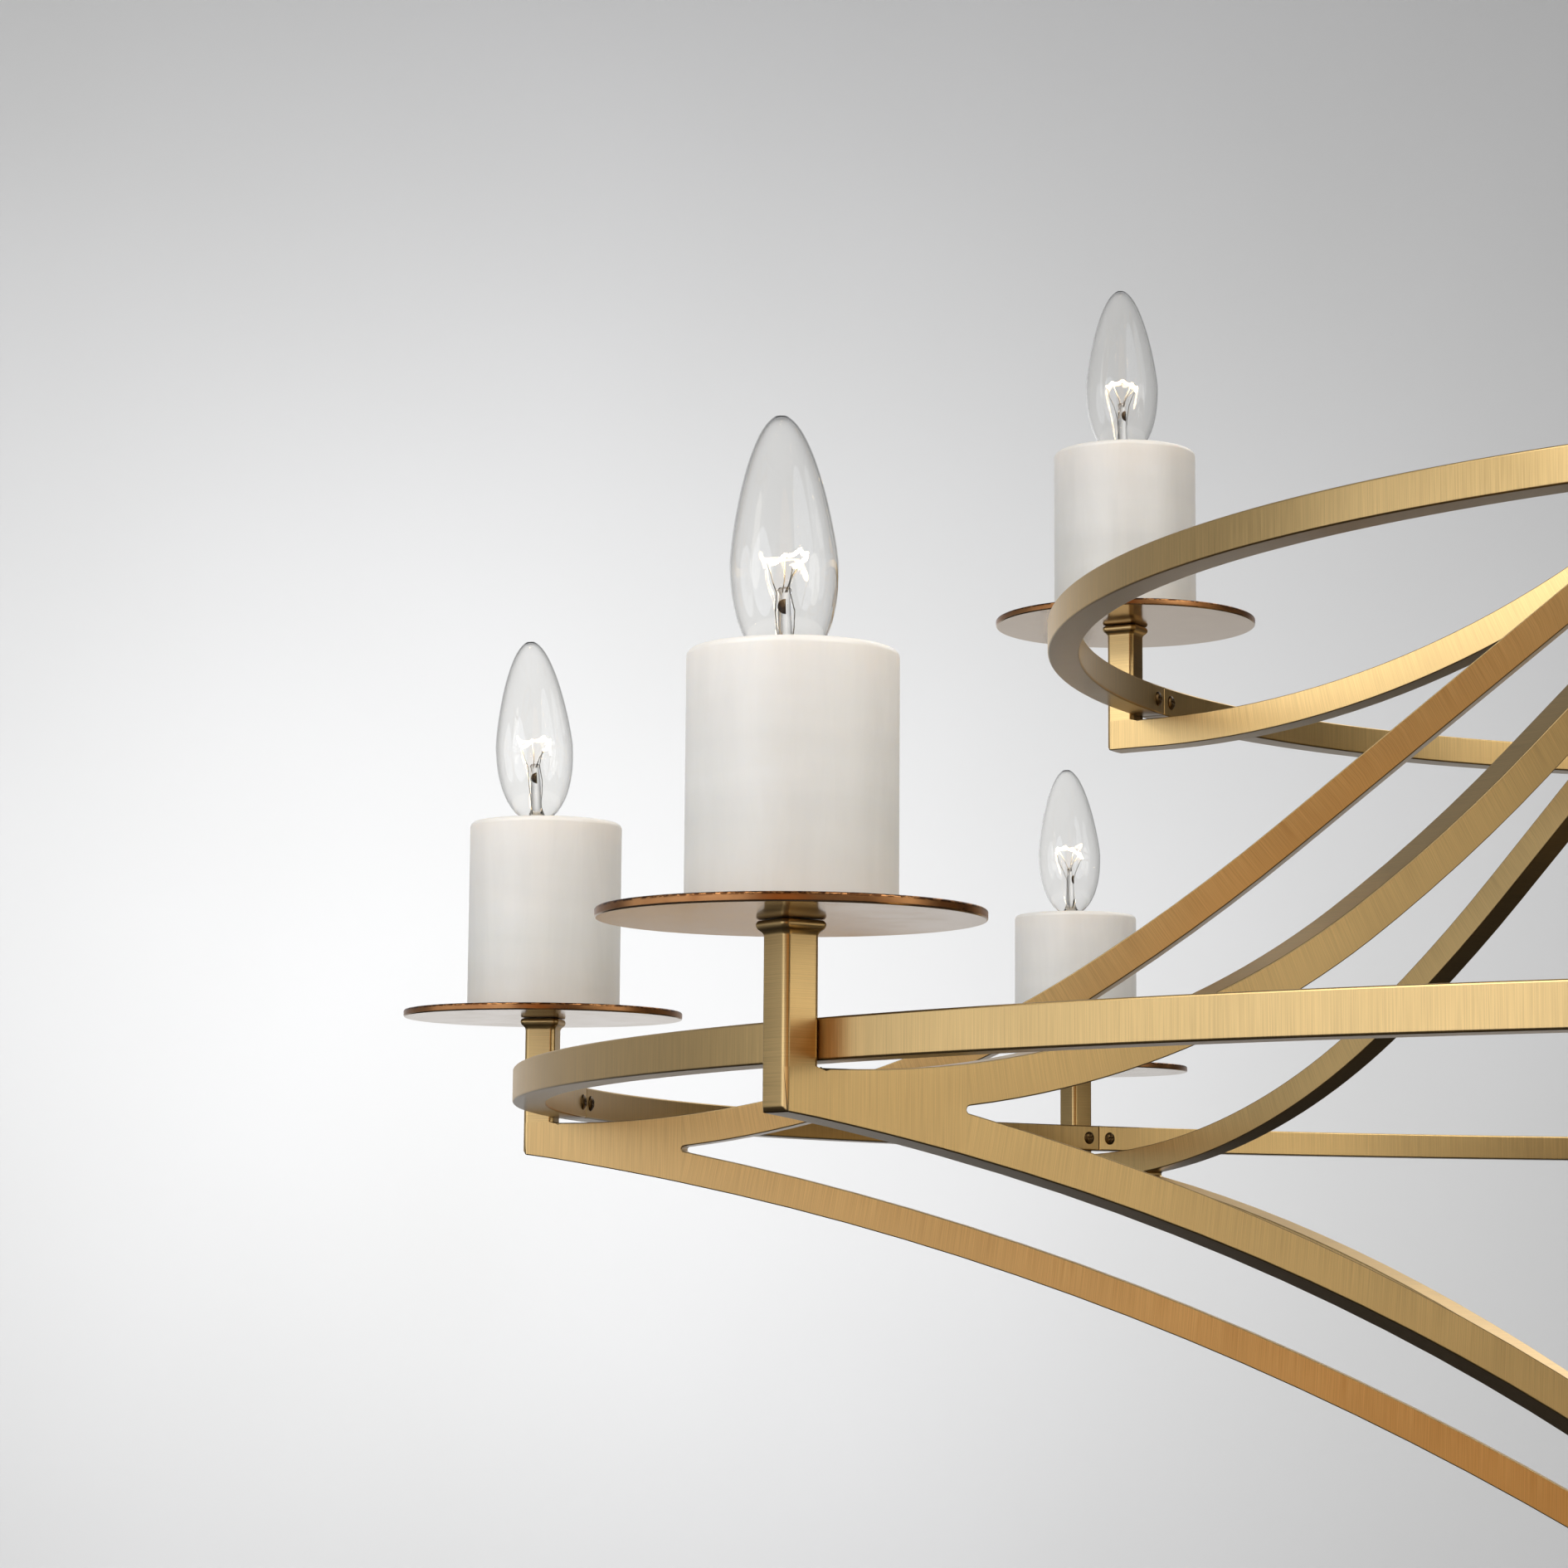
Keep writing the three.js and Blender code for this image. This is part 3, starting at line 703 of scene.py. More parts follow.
def ring_segment_mesh(name, outer_radius, start, end):
    """A curved bar from one angle to another, its ends eased so that the joints show."""
    section = rounded_square(BAR, RING_ROUNDING)
    count = len(section)
    middle_radius = outer_radius - HALF
    ease = 0.5 / middle_radius
    steps = round(degrees(end - start) / 1.5)
    angles = [start, start + ease]
    angles += [start + (end - start) * k / steps for k in range(1, steps)]
    angles += [end - ease, end]
    points, faces, grains = [], [], []
    perimeter = distances(section + section[:1])
    for number, angle in enumerate(angles):
        size = 1 - 0.07 * (number in (0, len(angles) - 1))
        for x, z in section:
            r = middle_radius + x * size
            points.append((r * cos(angle), r * sin(angle), z * size))
    for number in range(len(angles) - 1):
        u0, u1 = angles[number] * middle_radius, angles[number + 1] * middle_radius
        for k in range(count):
            a, b = number * count + k, number * count + (k + 1) % count
            faces.append([a, a + count, b + count, b])
            v0, v1 = perimeter[k], perimeter[k + 1]
            grains.append([(u0, v0), (u1, v0), (u1, v1), (u0, v1)])
    last = (len(angles) - 1) * count
    for cap in (list(range(count)), [last + k for k in range(count)][::-1]):
        faces.append(cap)
        grains.append([section[c % count] for c in cap])
    mesh = edited(new_mesh(name, points, faces, grains))
    return with_material(finished(mesh), brass)


def build_rings():
    for tier, posts in tiers.items():
        outer = posts[0].radius - HALF
        seam = 0.12 / outer
        step = 2 * pi / len(posts)
        mesh = ring_segment_mesh(f"{tier}_ring_bar", outer, seam - step / 2, step / 2 - seam)
        for s in posts:
            turn = shift(0, 0, s.ring_z) @ spin(s.azimuth + step / 2)
            nodes = (f"{tier}_ring_front", f"{tier}_ring_back") if s is posts[0] else ()
            add(f"{tier}_ring_segment_{s.arm_number}", mesh, turn, *nodes)


def screw_mesh():
    """A round-head screw with a cross slot, its head's seat at the origin, pointing along +Z."""
    head = 3.2
    dome = [(0, -1.0), (head, -1.0), (head, 0.3)] + arc(0, -2.6, 4.3, 42, 90, 8)[1:-1] + [(0, 1.7)]

    def cut_slot(bm):
        for v in bm.verts:
            for across, along in ((v.co.y, v.co.x), (v.co.x, v.co.y)):
                if v.co.z > 0.0006 and abs(across) < 0.00035 and abs(along) < 0.0016:
                    v.co.z -= 0.0006

    return edited(turned("ring_screw", dome, 28, screw_metal), cut_slot)


def build_screws():
    mesh = screw_mesh()
    spacing = 13.8
    for s in stations:
        for side, label in ((-1, "left"), (1, "right")):
            place = s.matrix @ shift(HALF + BAR, side * spacing / 2, 0) @ spin(pi / 2, "Y")
            add(f"ring_screw_{s.number}_{label}", mesh, place)


# ---- candles
# For candles by number: the azimuth and degrees of the lampholder's lean, and how far the bulb stands over
# its place in the CAD. For all twelve: the sleeve's lighter or darker copy of the stone, the darker copies
# being painted shade on the candles set farther back, and the bulb's turn in its holder.
LEANS = {6: (0.18, 1.55), 5: (0.18, 2.95), 4: (0.18, 1.7), 11: (0.18, 0.6)}
SEATING = {6: -0.9, 5: 1.7, 4: 1.6}
SLEEVE_SHADING = (0, 2, 1, 2, 1, 0, 1, 0, 2, 0, 2, 1)
BULB_TURNS = [radians(a) for a in (100, -30, 150, 70, 25, 12, -60, 200, -20, 140, 48, -110)]
STEM_TOP, STEM_FOOT, LEAD_FOOT = (first.bulb_tip - depth for depth in (52.5, 77, 74))


def pan_mesh():
    """The drip pan, a thin disc with a rounded rim."""
    low = first.pan_bottom
    high = low + PAN_THICKNESS
    edge = 0.7
    profile = [(0, low), (8, low), (30, low), (PAN_RADIUS - edge, low)]
    profile += arc(PAN_RADIUS - edge, low + edge, edge, -90, 0, 4)[1:]
    profile += arc(PAN_RADIUS - edge, high - edge, edge, 0, 90, 4)
    profile += [(30, high), (8, high), (0, high)]
    return turned("drip_pan", profile, 128, pan_finish)


def lampholder_mesh():
    """A tube lampholder with its flange, waist and mouth."""
    low = first.sleeve_bottom - WASHER
    top = first.socket_top
    profile = lifted(low, (0, 0), (10.4, 0), (10.4, 3), (7.4, 4), (7.4, 16), (9.2, 18))
    profile += lifted(top, (9.2, -26), (10.4, -25), (10.4, -1))
    profile += lifted(top, (9.6, 0), (7.4, 0), (6.9, -1), (6.9, -21.5), (0, -21.5))
    return turned("lampholder", profile, 48, porcelain)


def lampholder_shell_mesh():
    """The threaded metal liner in the lampholder's mouth."""
    top = first.socket_top - 1.2
    turns, pitch = 7, 2.5
    profile = [(6.85, top - turns * pitch), (6.85, top)]
    for k in range(turns * 4 + 1):
        profile.append((6.45 + 0.2 * cos(pi * k / 2), top - pitch * k / 4))
    return turned("lampholder_liner", profile, 48, nickel, loop=True)


def sleeve_mesh(stone):
    """The candle sleeve, a thick tube with its rims eased."""
    low, high = first.sleeve_bottom, first.sleeve_top
    bore = 19.0
    edge = 2.3
    profile = [(bore, low), (SLEEVE_RADIUS - 0.8, low)]
    profile += arc(SLEEVE_RADIUS - 0.8, low + 0.8, 0.8, -90, 0, 3)[1:]
    profile += [(SLEEVE_RADIUS, low + (high - low) * k / 4) for k in (1, 2, 3)]
    profile += arc(SLEEVE_RADIUS - edge, high - edge, edge, 0, 90, 8)
    profile += arc(bore + 1.2, high - 1.2, 1.2, 90, 180, 4)
    return turned("candle_sleeve", profile, 112, stone, loop=True)


BELLY_DEPTH, BELLY_RADIUS, NOSE_POWER = 45.0, 16.3, 1.27
NECK_POWER, NECK_REACH = 2.33, 32.5


def glass_radius(depth):
    """Radius of the bulb's glass at a depth below its tip."""
    if depth < BELLY_DEPTH:
        return BELLY_RADIUS * sqrt(1 - (1 - depth / BELLY_DEPTH) ** NOSE_POWER)
    return BELLY_RADIUS * sqrt(1 - ((depth - BELLY_DEPTH) / NECK_REACH) ** NECK_POWER)


def envelope_mesh():
    """The blown glass: an outer and an inner wall that meet at the neck."""
    tip, wall, neck_depth = first.bulb_tip, 0.55, 75.6
    depths = [neck_depth - (neck_depth - BELLY_DEPTH) * k / 12 for k in range(13)]
    depths += [BELLY_DEPTH * (1 - k / 20) ** 1.6 for k in range(1, 20)]
    outer = [(glass_radius(d), tip - d) for d in depths]
    inner = []
    for d in depths:
        slope = (glass_radius(max(d - 0.3, 0.02)) - glass_radius(d + 0.3)) / -0.6
        lean = atan(slope)
        r = glass_radius(d) - wall * cos(lean)
        if r > 0.35:
            inner.append((r, tip - d - wall * sin(lean)))
    rim, rim_radius = tip - neck_depth - 2.2, outer[0][0]
    shell = [(rim_radius, rim), *outer, (0, tip), (0, tip - 2 * wall), *inner[::-1]]
    shell.append((rim_radius - wall, rim))
    return turned("bulb_envelope", shell, 64, glass, loop=True, weighted=False)


def stem_mesh():
    """The glass mount: flared foot, tube, and a pinched top that holds the wires."""
    profile = lifted(STEM_FOOT, (0, 0), (5.2, 0), (5.0, 0.8), (3.4, 3), (2.3, 6), (2.1, 12))
    profile += lifted(STEM_TOP, (2.1, -4), (1.9, -2), (2.3, -1), (1.7, 0), (0, 0.3))
    mesh = turned("bulb_stem", profile, 32, glass)
    for v in mesh.vertices:
        pinch = max(0.0, min(1.0, (v.co.z / MM - STEM_TOP + 7) / 5))
        v.co.y *= 1 - 0.45 * pinch
    return mesh


FILAMENT_RADIUS = 6.9
# angle round the stem in degrees and height above the level of the left end, at the leads and the supports
FILAMENT_HOLDS = [(-70, -3.0), (-32, -0.4), (4, 2.2), (42, 4.2), (86, 3.0), (130, 0.0)]


def filament_hold(number):
    angle, height = FILAMENT_HOLDS[number]
    a = radians(angle)
    level = first.bulb_tip - 44.2
    return Vector((FILAMENT_RADIUS * cos(a), FILAMENT_RADIUS * sin(a), level + height))


def filament_path():
    """A fine coil hung round the stem in shallow bows from hold to hold."""
    path = []
    turns, coil, bow = 7, 0.42, 0.9
    for number in range(len(FILAMENT_HOLDS) - 1):
        a, b = filament_hold(number), filament_hold(number + 1)
        ahead = (b - a).normalized()
        side = ahead.cross(Vector((0, 0, 1))).normalized()
        other = ahead.cross(side)
        steps = turns * 6
        for k in range(steps):
            turn = 2 * pi * turns * k / steps
            sag = Vector((0, 0, -bow * sin(pi * k / steps)))
            path.append(a.lerp(b, k / steps) + sag + (side * cos(turn) + other * sin(turn)) * coil)
    return path


def lead_paths():
    """The two leads from the stem's sides out to the filament's ends, and the supports between them."""

    def beside(end, reach, z):
        return end.x * reach / FILAMENT_RADIUS, end.y * reach / FILAMENT_RADIUS, z

    paths = {}
    for label, side, hold in (("lead_left", -1, len(FILAMENT_HOLDS) - 1), ("lead_right", 1, 0)):
        end = filament_hold(hold)
        wire = [(side * 1.3, 0, LEAD_FOOT), (side * 2.6, 0, STEM_TOP - 12), (side * 2.9, 0, STEM_TOP - 7)]
        paths[label] = [*wire, beside(end, 3.6, STEM_TOP - 1), beside(end, 5.4, STEM_TOP + 3), end]
    for label, x, hold in (("support_left", -0.6, 4), ("support_middle", 0.1, 2), ("support_right", 0.6, 1)):
        end = filament_hold(hold)
        paths[label] = [(x, 0, STEM_TOP - 1.5), beside(end, 2.2, STEM_TOP + 3), end]
    return paths


def base_mesh():
    """The E12 screw shell: a rolled thread from its rim down to the insulator."""
    foot = first.bulb_foot
    top = foot + 21
    turns, pitch, steps = 6, 2.54, 8
    profile = lifted(foot, (0, 4.4), (4.6, 4.4), (5.2, 4.8))
    for k in range(turns * steps + 1):
        profile.append((5.62 - 0.3 * cos(2 * pi * k / steps), foot + 5.0 + pitch * k / steps))
    profile += lifted(top, (5.75, -0.6), (5.6, 0), (0, 0))
    return turned("bulb_base", profile, 48, nickel)


def insulator_mesh():
    """The black insulator below the thread."""
    profile = lifted(first.bulb_foot, (0, 1.4), (1.9, 1.4), (4.4, 3.4), (4.6, 4.5), (0, 4.5))
    return turned("bulb_insulator", profile, 40, insulator)


def contact_mesh():
    """The solder contact at the bulb's foot."""
    profile = lifted(first.bulb_foot, (0, 0), (1.3, 0.35), (1.9, 1.1), (1.7, 1.6), (0, 1.6))
    return turned("bulb_contact", profile, 32, nickel)


def getter_mesh():
    """The small dark half disc on the stem."""
    level = first.bulb_tip - 58.5
    turns = [pi / 2 + pi * k / 9 for k in range(10)]
    outline = [(0.2 + 2.5 * cos(a), level + 2.3 * sin(a)) for a in turns]
    points, faces = prism(outline, -2.25, -2.0, (1, 0, 2))
    return with_material(edited(new_mesh("bulb_getter", points, faces)), getter)


def stretch(station, low, own_high, usual_high):
    """A stretch along Z about the height low that takes usual_high to own_high, in the station's frame."""
    factor = (own_high - low) / (usual_high - low)
    return station.matrix @ shift(0, 0, low) @ Matrix.Diagonal((1, 1, factor, 1)) @ shift(0, 0, -low)


def rise(station):
    """How far this candle's bulb and lampholder mouth stand over those of candle 1."""
    return shift(0, 0, station.bulb_tip - first.bulb_tip + SEATING.get(station.number, 0.0))


def holder_lean(station):
    """A lampholder never stands quite upright on its pan, and its bulb leans with it."""
    foot = shift(0, 0, first.sleeve_bottom)
    towards, angle = LEANS.get(station.number, (station.number * 2.4, 0.5))
    across = spin(towards - station.azimuth)
    return foot @ across @ spin(radians(angle), "Y") @ across.inverted() @ foot.inverted()


def build_candles():
    pan, liner, holder = pan_mesh(), lampholder_shell_mesh(), lampholder_mesh()
    sleeves = [sleeve_mesh(stone) for stone in stones]
    loose = {
        "envelope": envelope_mesh(),
        "stem": stem_mesh(),
        "filament": tube("bulb_filament", filament_path(), 0.24, 6, filament_finish),
        "base": base_mesh(),
        "insulator": insulator_mesh(),
        "contact": contact_mesh(),
        "getter": getter_mesh(),
    }
    for label, path in lead_paths().items():
        loose[label] = tube(f"bulb_{label}", path, 0.17, 8, wire_metal)
    for s in stations:
        n = s.number
        add(f"candle_{n}_pan", pan, s.matrix, f"drip_pan_{n}", slot="copper_brass")
        place = stretch(s, s.sleeve_bottom, s.socket_top, first.socket_top) @ holder_lean(s)
        for label, mesh in (("lampholder", holder), ("lampholder_liner", liner)):
            add(f"candle_{n}_{label}", mesh, place, slot="copper_brass")
        place = stretch(s, s.sleeve_bottom, s.sleeve_top, first.sleeve_top)
        stone = sleeves[SLEEVE_SHADING[n - 1]]
        add(f"candle_{n}_sleeve", stone, place, f"candle_sleeve_{n}", slot="alabaster")
        place = s.matrix @ rise(s) @ holder_lean(s) @ spin(BULB_TURNS[n - 1] - s.azimuth - pi)
        for label, mesh in loose.items():
            nodes = (f"bulb_{n}",) if label == "envelope" else ()
            add(f"bulb_{n}_{label}", mesh, place, *nodes, body=f"lamp_{n}", slot="bulb_glass")


# ---- centre line
def drum_rows(radius, low, high, edge=3):
    """The side of a turned drum with rounded edges, from its underside's middle upward."""
    rows = [(0, low), (radius - edge, low), *arc(radius - edge, low + edge, edge, -90, 0, 5)[1:]]
    return rows + arc(radius - edge, high - edge, edge, 0, 90, 5)


def place_turned(name, rows, segments, *nodes, body="fixture", loop=False):
    """A turned brass piece on the centre line."""
    add(name, turned(name, rows, segments, turned_brass, loop), None, *nodes, body=body)


def build_centre():
    top_low, top_high = span("top_hub")
    collar_low = top_high - 12
    rows = drum_rows(TOP_HUB_RADIUS, top_low, collar_low)
    rows += lifted(collar_low, (26, 0), (23, 0.6))
    rows += arc(19.5, collar_low + 3.2, 2.6, -60, 90, 7)
    rows += lifted(collar_low, (15.5, 6.6), (14.4, 8.5))
    rows += arc(12.6, top_high - 2, 2, 0, 90, 5)
    place_turned("top_hub_body", rows + [(0, top_high)], 96, "top_hub")

    low, high = span("bottom_hub")
    place_turned("bottom_hub_body", drum_rows(BOTTOM_HUB_RADIUS, low, high) + [(0, high)], 96, "bottom_hub")

    low, high = span("centre_column")
    radius = half_width("centre_column")
    hub_top = span("bottom_hub")[1]
    rows = [(0, low), (radius, low), (radius, hub_top - 1)]
    rows += [(radius, hub_top + (top_low - hub_top) * k / 6) for k in range(1, 6)]
    rows += [(radius, high), (0, high)]
    place_turned("centre_column_tube", rows, 72, "centre_column")
    for label, z, flip in (("lower", hub_top, 1), ("upper", top_low, -1)):
        ring = [(radius - 1, 0), (radius + 5, 0), (radius + 5, 1.6), (radius + 3.4, 2.4)]
        ring += arc(radius + 1.4, 4.4, 2, -20, 90, 6) + [(radius - 1, 6.4)]
        rows = [(r, z + flip * h) for r, h in ring][::flip]
        place_turned(f"column_{label}_collar", rows, 72, loop=True)

    low, high = span("finial")
    top = high - 12
    rows = [(0, low)] + arc(0, low + 12.5, 12.5, -86, 52, 16)
    rows += lifted(low, (6.2, 24), (5.0, 28.5), (5.6, 31), (8.6, 34))
    rows += lifted(low, (13.5, 37.2), (18.5, 39.4), (22.5, 41.6))
    rows += arc(22.6, top - 2.4, 2.4, -50, 90, 8) + [(0, top)]
    place_turned("finial_turned", rows, 72, "finial")


SCREW_REACH = 44.45
EAR_IN, EAR_OUT, EAR_HALF, PLATE_NEAR, PLATE_FAR = 9.5, 13.5, 6.0, 12.0, 19.0


def prism(outline, low, high, axis_order):
    """Points and faces of an outline drawn in one plane and given thickness along the third axis."""
    count = len(outline)
    points = []
    for level in (low, high):
        for a, b in outline:
            values = (level, a, b)
            points.append(tuple(values[k] for k in axis_order))
    faces = [list(range(count)), [count + k for k in range(count)][::-1]]
    faces += [[k, count + k, count + (k + 1) % count, (k + 1) % count] for k in range(count)]
    return points, faces


def merged(name, solids, bevel, material):
    """One mesh from several (points, faces) solids, its edges rounded."""
    points, faces = [], []
    for own_points, own_faces in solids:
        faces += [[c + len(points) for c in face] for face in own_faces]
        points += own_points
    grains = [[(x + y, z) for x, y, z in (points[c] for c in face)] for face in faces]
    return with_material(finished(edited(new_mesh(name, points, faces, grains)), bevel, 2), material)


def yoke_mesh(name, up, across_x):
    """A plate with two round-ended ears. up is +1 when the plate is above the pivot."""
    order = (0, 1, 2) if across_x else (1, 0, 2)
    turns = [pi * k / 12 for k in range(13)]
    ear = [(EAR_HALF * cos(a), -up * EAR_HALF * sin(a)) for a in turns]
    ear += [(-EAR_HALF, up * (PLATE_NEAR + 0.5)), (EAR_HALF, up * (PLATE_NEAR + 0.5))]
    plate = [(-EAR_HALF, up * PLATE_NEAR), (EAR_HALF, up * PLATE_NEAR)]
    plate += [(EAR_HALF, up * PLATE_FAR), (-EAR_HALF, up * PLATE_FAR)]
    solids = [prism(ear, side * EAR_IN, side * EAR_OUT, order) for side in (-1, 1)]
    solids.append(prism(plate, -EAR_OUT, EAR_OUT, order))
    return merged(name, solids, 0.6, turned_brass)


def build_swivel(swivel_z):
    pivot = shift(0, 0, swivel_z)
    add("upper_yoke", yoke_mesh("upper_yoke", 1, True), pivot, body="ceiling")
    add("lower_yoke", yoke_mesh("lower_yoke", -1, False), pivot)
    half = 7.2
    corners = [(-half, -half), (half, -half), (half, half), (-half, half)]
    core = merged("swivel_block", [prism(corners, -half, half, (0, 1, 2))], 1.2, turned_brass)
    add("swivel_block", core, pivot, "swivel_cross", body="swivel")
    profile = [(0, half - 1), (3.0, half - 1), (3.0, EAR_OUT), (4.6, EAR_OUT + 0.1), (4.6, EAR_OUT + 0.9)]
    profile += arc(0, EAR_OUT - 5.2, 7.6, 52, 90, 5)[1:]
    mesh = turned("swivel_pin", profile, 32, turned_brass)
    for number in range(4):
        facing = spin(number * pi / 2) @ spin(pi / 2, "Y")
        add(f"swivel_pin_{number + 1}", mesh, pivot @ facing, body="swivel")


def build_bracket(swivel_z):
    (left, right), (front, back) = (span("ceiling_bracket", axis) for axis in (0, 1))
    length, end = right - left, (back - front) / 2
    outline = arc(length / 2 - end, 0, end, -90, 90, 8)
    outline += [(-x, -y) for x, y in outline]
    bar = merged("bracket_bar", [prism(outline, -4, 0, (1, 2, 0))], 0.5, zinc)
    steel = {"body": "ceiling", "slot": "bracket_steel"}
    add("bracket_bar", bar, None, "ceiling_bracket", **steel)
    foot = swivel_z + PLATE_FAR - 0.5
    steps = int((-3.0 - foot) / 0.35)
    thread = [(6.4 - 0.45 * (k % 4 in (1, 2)), foot + 0.35 * k) for k in range(steps)]
    nipple = [(0, foot), *thread, (6.0, -3.0), (0, -3.0)]
    add("bracket_nipple", turned("bracket_nipple", nipple, 40, zinc), None, **steel)
    ring = [(6.6, -6.3), (9.4, -6.3), (10.8, -5.2), (10.8, -1.8), (9.8, -0.4), (6.6, -0.4)]
    ring = lifted(span("canopy")[0], *ring)
    place_turned("canopy_nut", ring, 48, body="ceiling", loop=True)
    head = [(0, -1.2), (3.4, -1.2), (3.4, 0.3)] + arc(0, -3.2, 4.9, 45, 90, 6)[1:]
    mesh = turned("bracket_screw", head, 28, zinc)
    for side, label in ((-1, "left"), (1, "right")):
        place = shift(side * SCREW_REACH, 0, -4.2) @ spin(pi, "X")
        add(f"bracket_screw_{label}", mesh, place, **steel)


def build_hanger():
    """Down rod with its collars, the swivel, the canopy and the bracket."""
    low = span("down_rod")[0]
    swivel_z = middle("swivel_cross")
    rod_radius = 8.0
    plate_low = swivel_z - PLATE_FAR
    rows = [(0, low), (rod_radius, low)]
    rows += [(rod_radius, low + (plate_low - 14 - low) * k / 6) for k in range(1, 6)]
    rows += lifted(plate_low, (rod_radius, -14), (rod_radius + 2.4, -12.4))
    rows += arc(rod_radius + 1.2, plate_low - 9.4, 2.6, -50, 80, 7)
    rows += lifted(plate_low, (rod_radius + 0.6, -5.6), (rod_radius + 1.0, -3))
    rows += lifted(plate_low, (rod_radius + 2.6, -1.2), (rod_radius + 2.6, 1), (0, 1))
    place_turned("down_rod_tube", rows, 48, "down_rod")
    build_swivel(swivel_z)
    build_bracket(swivel_z)

    low, high = span("canopy")
    radius = half_width("canopy")
    hole, roll, wall = 7.5, 8.0, 1.5
    outer = [(hole, low), (hole + 4, low), (radius - roll, low)]
    outer += arc(radius - roll, low + roll, roll, -90, 0, 8)[1:]
    outer += [(radius, (low + high) / 2), (radius, high - 2.5), (radius, high)]
    inner = [(radius - wall, high)]
    inner += arc(radius - roll, low + roll, roll - wall, 0, -90, 8)
    inner += [(hole, low + wall)]
    place_turned("canopy_shell", outer + inner, 112, "canopy", body="ceiling", loop=True)


# ---- stage, light and camera
CAMERA_PLACE = (-0.2484, -1.5129)
CAMERA_BELOW_RING = 0.0651
CAMERA_TURN = radians(10.03)
CAMERA_PITCH = radians(7.32)
CAMERA_ROLL = radians(0.45)
CAMERA_LENS = 85.52


def build_camera():
    camera = bpy.data.cameras.new("camera")
    data = settle(camera, sensor_width=36, lens=CAMERA_LENS, shift_x=0.0013)
    place = Vector((*CAMERA_PLACE, first.ring_z * MM - CAMERA_BELOW_RING))
    aim = spin(CAMERA_TURN) @ spin(pi / 2 + CAMERA_PITCH, "X") @ spin(CAMERA_ROLL)
    camera = new_object("camera", data, Matrix.Translation(place) @ aim)
    bpy.context.scene.camera = camera
    bpy.context.scene.view_settings.view_transform = "Standard"


def build_stage():
    """A pale floor that curves up into a round wall, far enough out for every view."""
    floor_z, radius, curve, height = -3200, 9000, 1500, 10000
    profile = [(0, floor_z), (2000, floor_z), (radius - curve, floor_z)]
    profile += arc(radius - curve, floor_z + curve, curve, -90, 0, 16)[1:] + [(radius, floor_z + height)]
    shader = Shader("stage_paint", Roughness=0.9)
    shader.paint(shader.spots(0.6, 2.0, 0.5), (0.2, "C9C9C8"), (0.8, "CFCFCF"))
    new_object("stage", turned("stage", profile[::-1], 96, shader.material, weighted=False))


def felt(name, colour):
    shader = Shader(name, Roughness=0.95)
    shader.paint(shader.spots(40.0, 2.0, 0.5), (0.3, colour), (0.7, [c * 1.3 for c in colour]))
    return shader.material


def curved_card(name, radius, start, end, low, high, material):
    """An upright sheet on part of a circle about the fixture, from one angle to another in degrees."""
    steps = 12
    points = []
    for k in range(steps + 1):
        a = radians(start + (end - start) * k / steps)
        points += [(radius * cos(a), radius * sin(a), z) for z in (low, high)]
    faces = [[2 * k, 2 * k + 2, 2 * k + 3, 2 * k + 1] for k in range(steps)]
    return with_material(new_mesh(name, points, faces), material)


def build_flags():
    """Cards that only reflections see: over the floor, along the wall behind at the right, and in front."""
    dark, brown = felt("flag_felt", (0.05, 0.045, 0.04)), felt("flag_brown", (0.3, 0.14, 0.035))
    floor_z = -3100
    cards = {
        "flag_floor": turned("floor_card", [(8300, floor_z), (0, floor_z)], 48, dark, weighted=False),
        "flag_wall": curved_card("wall_card", 6500, -3, 60, floor_z, 2400, dark),
        "flag_front": curved_card("front_card", 5200, -102, -79, -2600, 1300, brown),
    }
    for name, mesh in cards.items():
        unseen = {f"visible_{ray}": False for ray in ("camera", "diffuse", "transmission", "shadow")}
        settle(new_object(name, mesh), **unseen)


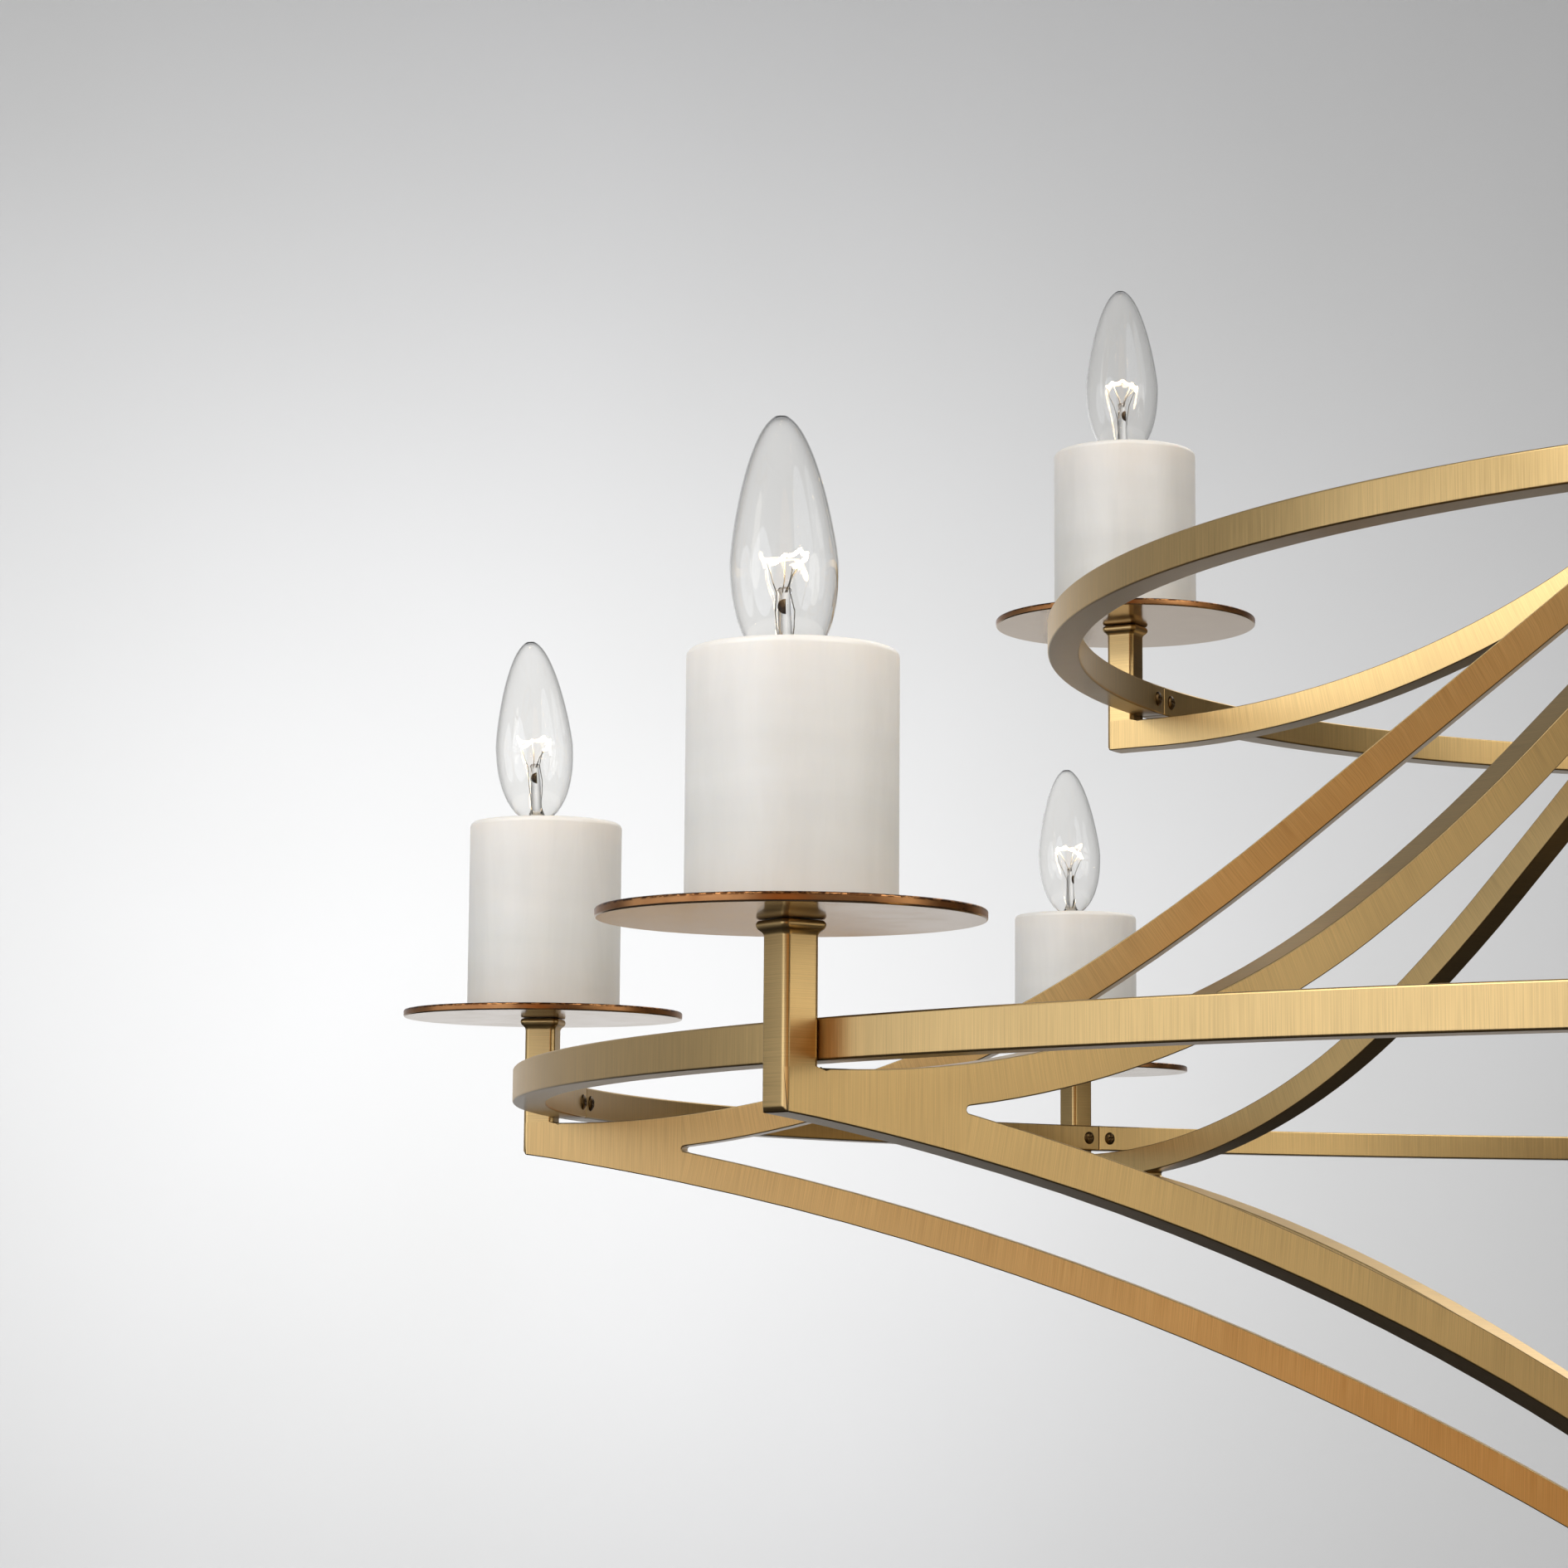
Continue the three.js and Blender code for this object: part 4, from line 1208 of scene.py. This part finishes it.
def area_light(name, place, target, size, power, colour):
    lamp = bpy.data.lights.new(name, "AREA")
    data = settle(lamp, shape="DISK", size=size, energy=power, color=colour)
    aim = (Vector(target) - Vector(place)).to_track_quat("-Z", "Y").to_matrix().to_4x4()
    lamp = new_object(name, data, Matrix.Translation(place) @ aim)
    lamp.visible_camera = False
    return lamp


def build_light():
    """Soft boxes round the fixture, a high key, and a wash that makes the wall behind it glow at the left."""
    world = bpy.data.worlds.new("world")
    bpy.context.scene.world = world
    world.use_nodes = True
    background = world.node_tree.nodes["Background"]
    background.inputs["Color"].default_value = (0.93, 0.95, 1.0, 1)
    background.inputs["Strength"].default_value = 0.26
    heart = (0, 0, -0.72)
    high = [
        area_light("key", (-2.8, -2.9, 2.3), heart, 4.2, 150, (1.0, 0.985, 0.96)),
        area_light("fill", (3.1, -2.5, 2.4), heart, 4.0, 182, (1.0, 0.985, 0.97)),
        area_light("back_fill", (1.6, 3.6, 2.8), heart, 3.6, 60, (1.0, 0.985, 0.97)),
    ]
    area_light("box_left", (-4.0, -1.0, -0.55), heart, 2.2, 11.5, (0.95, 0.98, 1.05))
    area_light("box_front_left", (-2.6, -3.15, -0.55), heart, 3.2, 32.5, (0.93, 0.98, 1.1))
    area_light("box_right", (3.7, -1.32, -0.4), heart, 2.1, 16, (1.0, 0.97, 0.9))
    area_light("box_front", (-0.1, -4.3, -0.9), heart, 2.0, 5, (1.0, 0.52, 0.15))
    area_light("wall_wash", (-1.9, 5.4, 0.0), (-2.95, 8.5, 0.15), 0.8, 121, (0.98, 0.985, 1.0))
    area_light("wall_wash_right", (-0.4, 6.0, -0.6), (-0.9, 8.8, -0.3), 0.8, 5, (0.98, 0.985, 1.0))
    return high


def spare_glass(lamps):
    """The high lights leave the bulbs' glass alone, so that no hard white patches lie on it."""
    for lamp in lamps:
        group = bpy.data.collections.new(f"{lamp.name}_spares")
        lamp.light_linking.receiver_collection = group
        for piece in bpy.data.objects:
            if piece.name.startswith("bulb_") and piece.name.endswith(("_envelope", "_stem")):
                group.objects.link(piece)
        for entry in group.collection_objects:
            entry.light_linking.link_state = "EXCLUDE"


build_camera()
build_stage()
build_flags()
high_lights = build_light()
build_arms()
build_rings()
build_screws()
build_candles()
build_centre()
build_hanger()
spare_glass(high_lights)
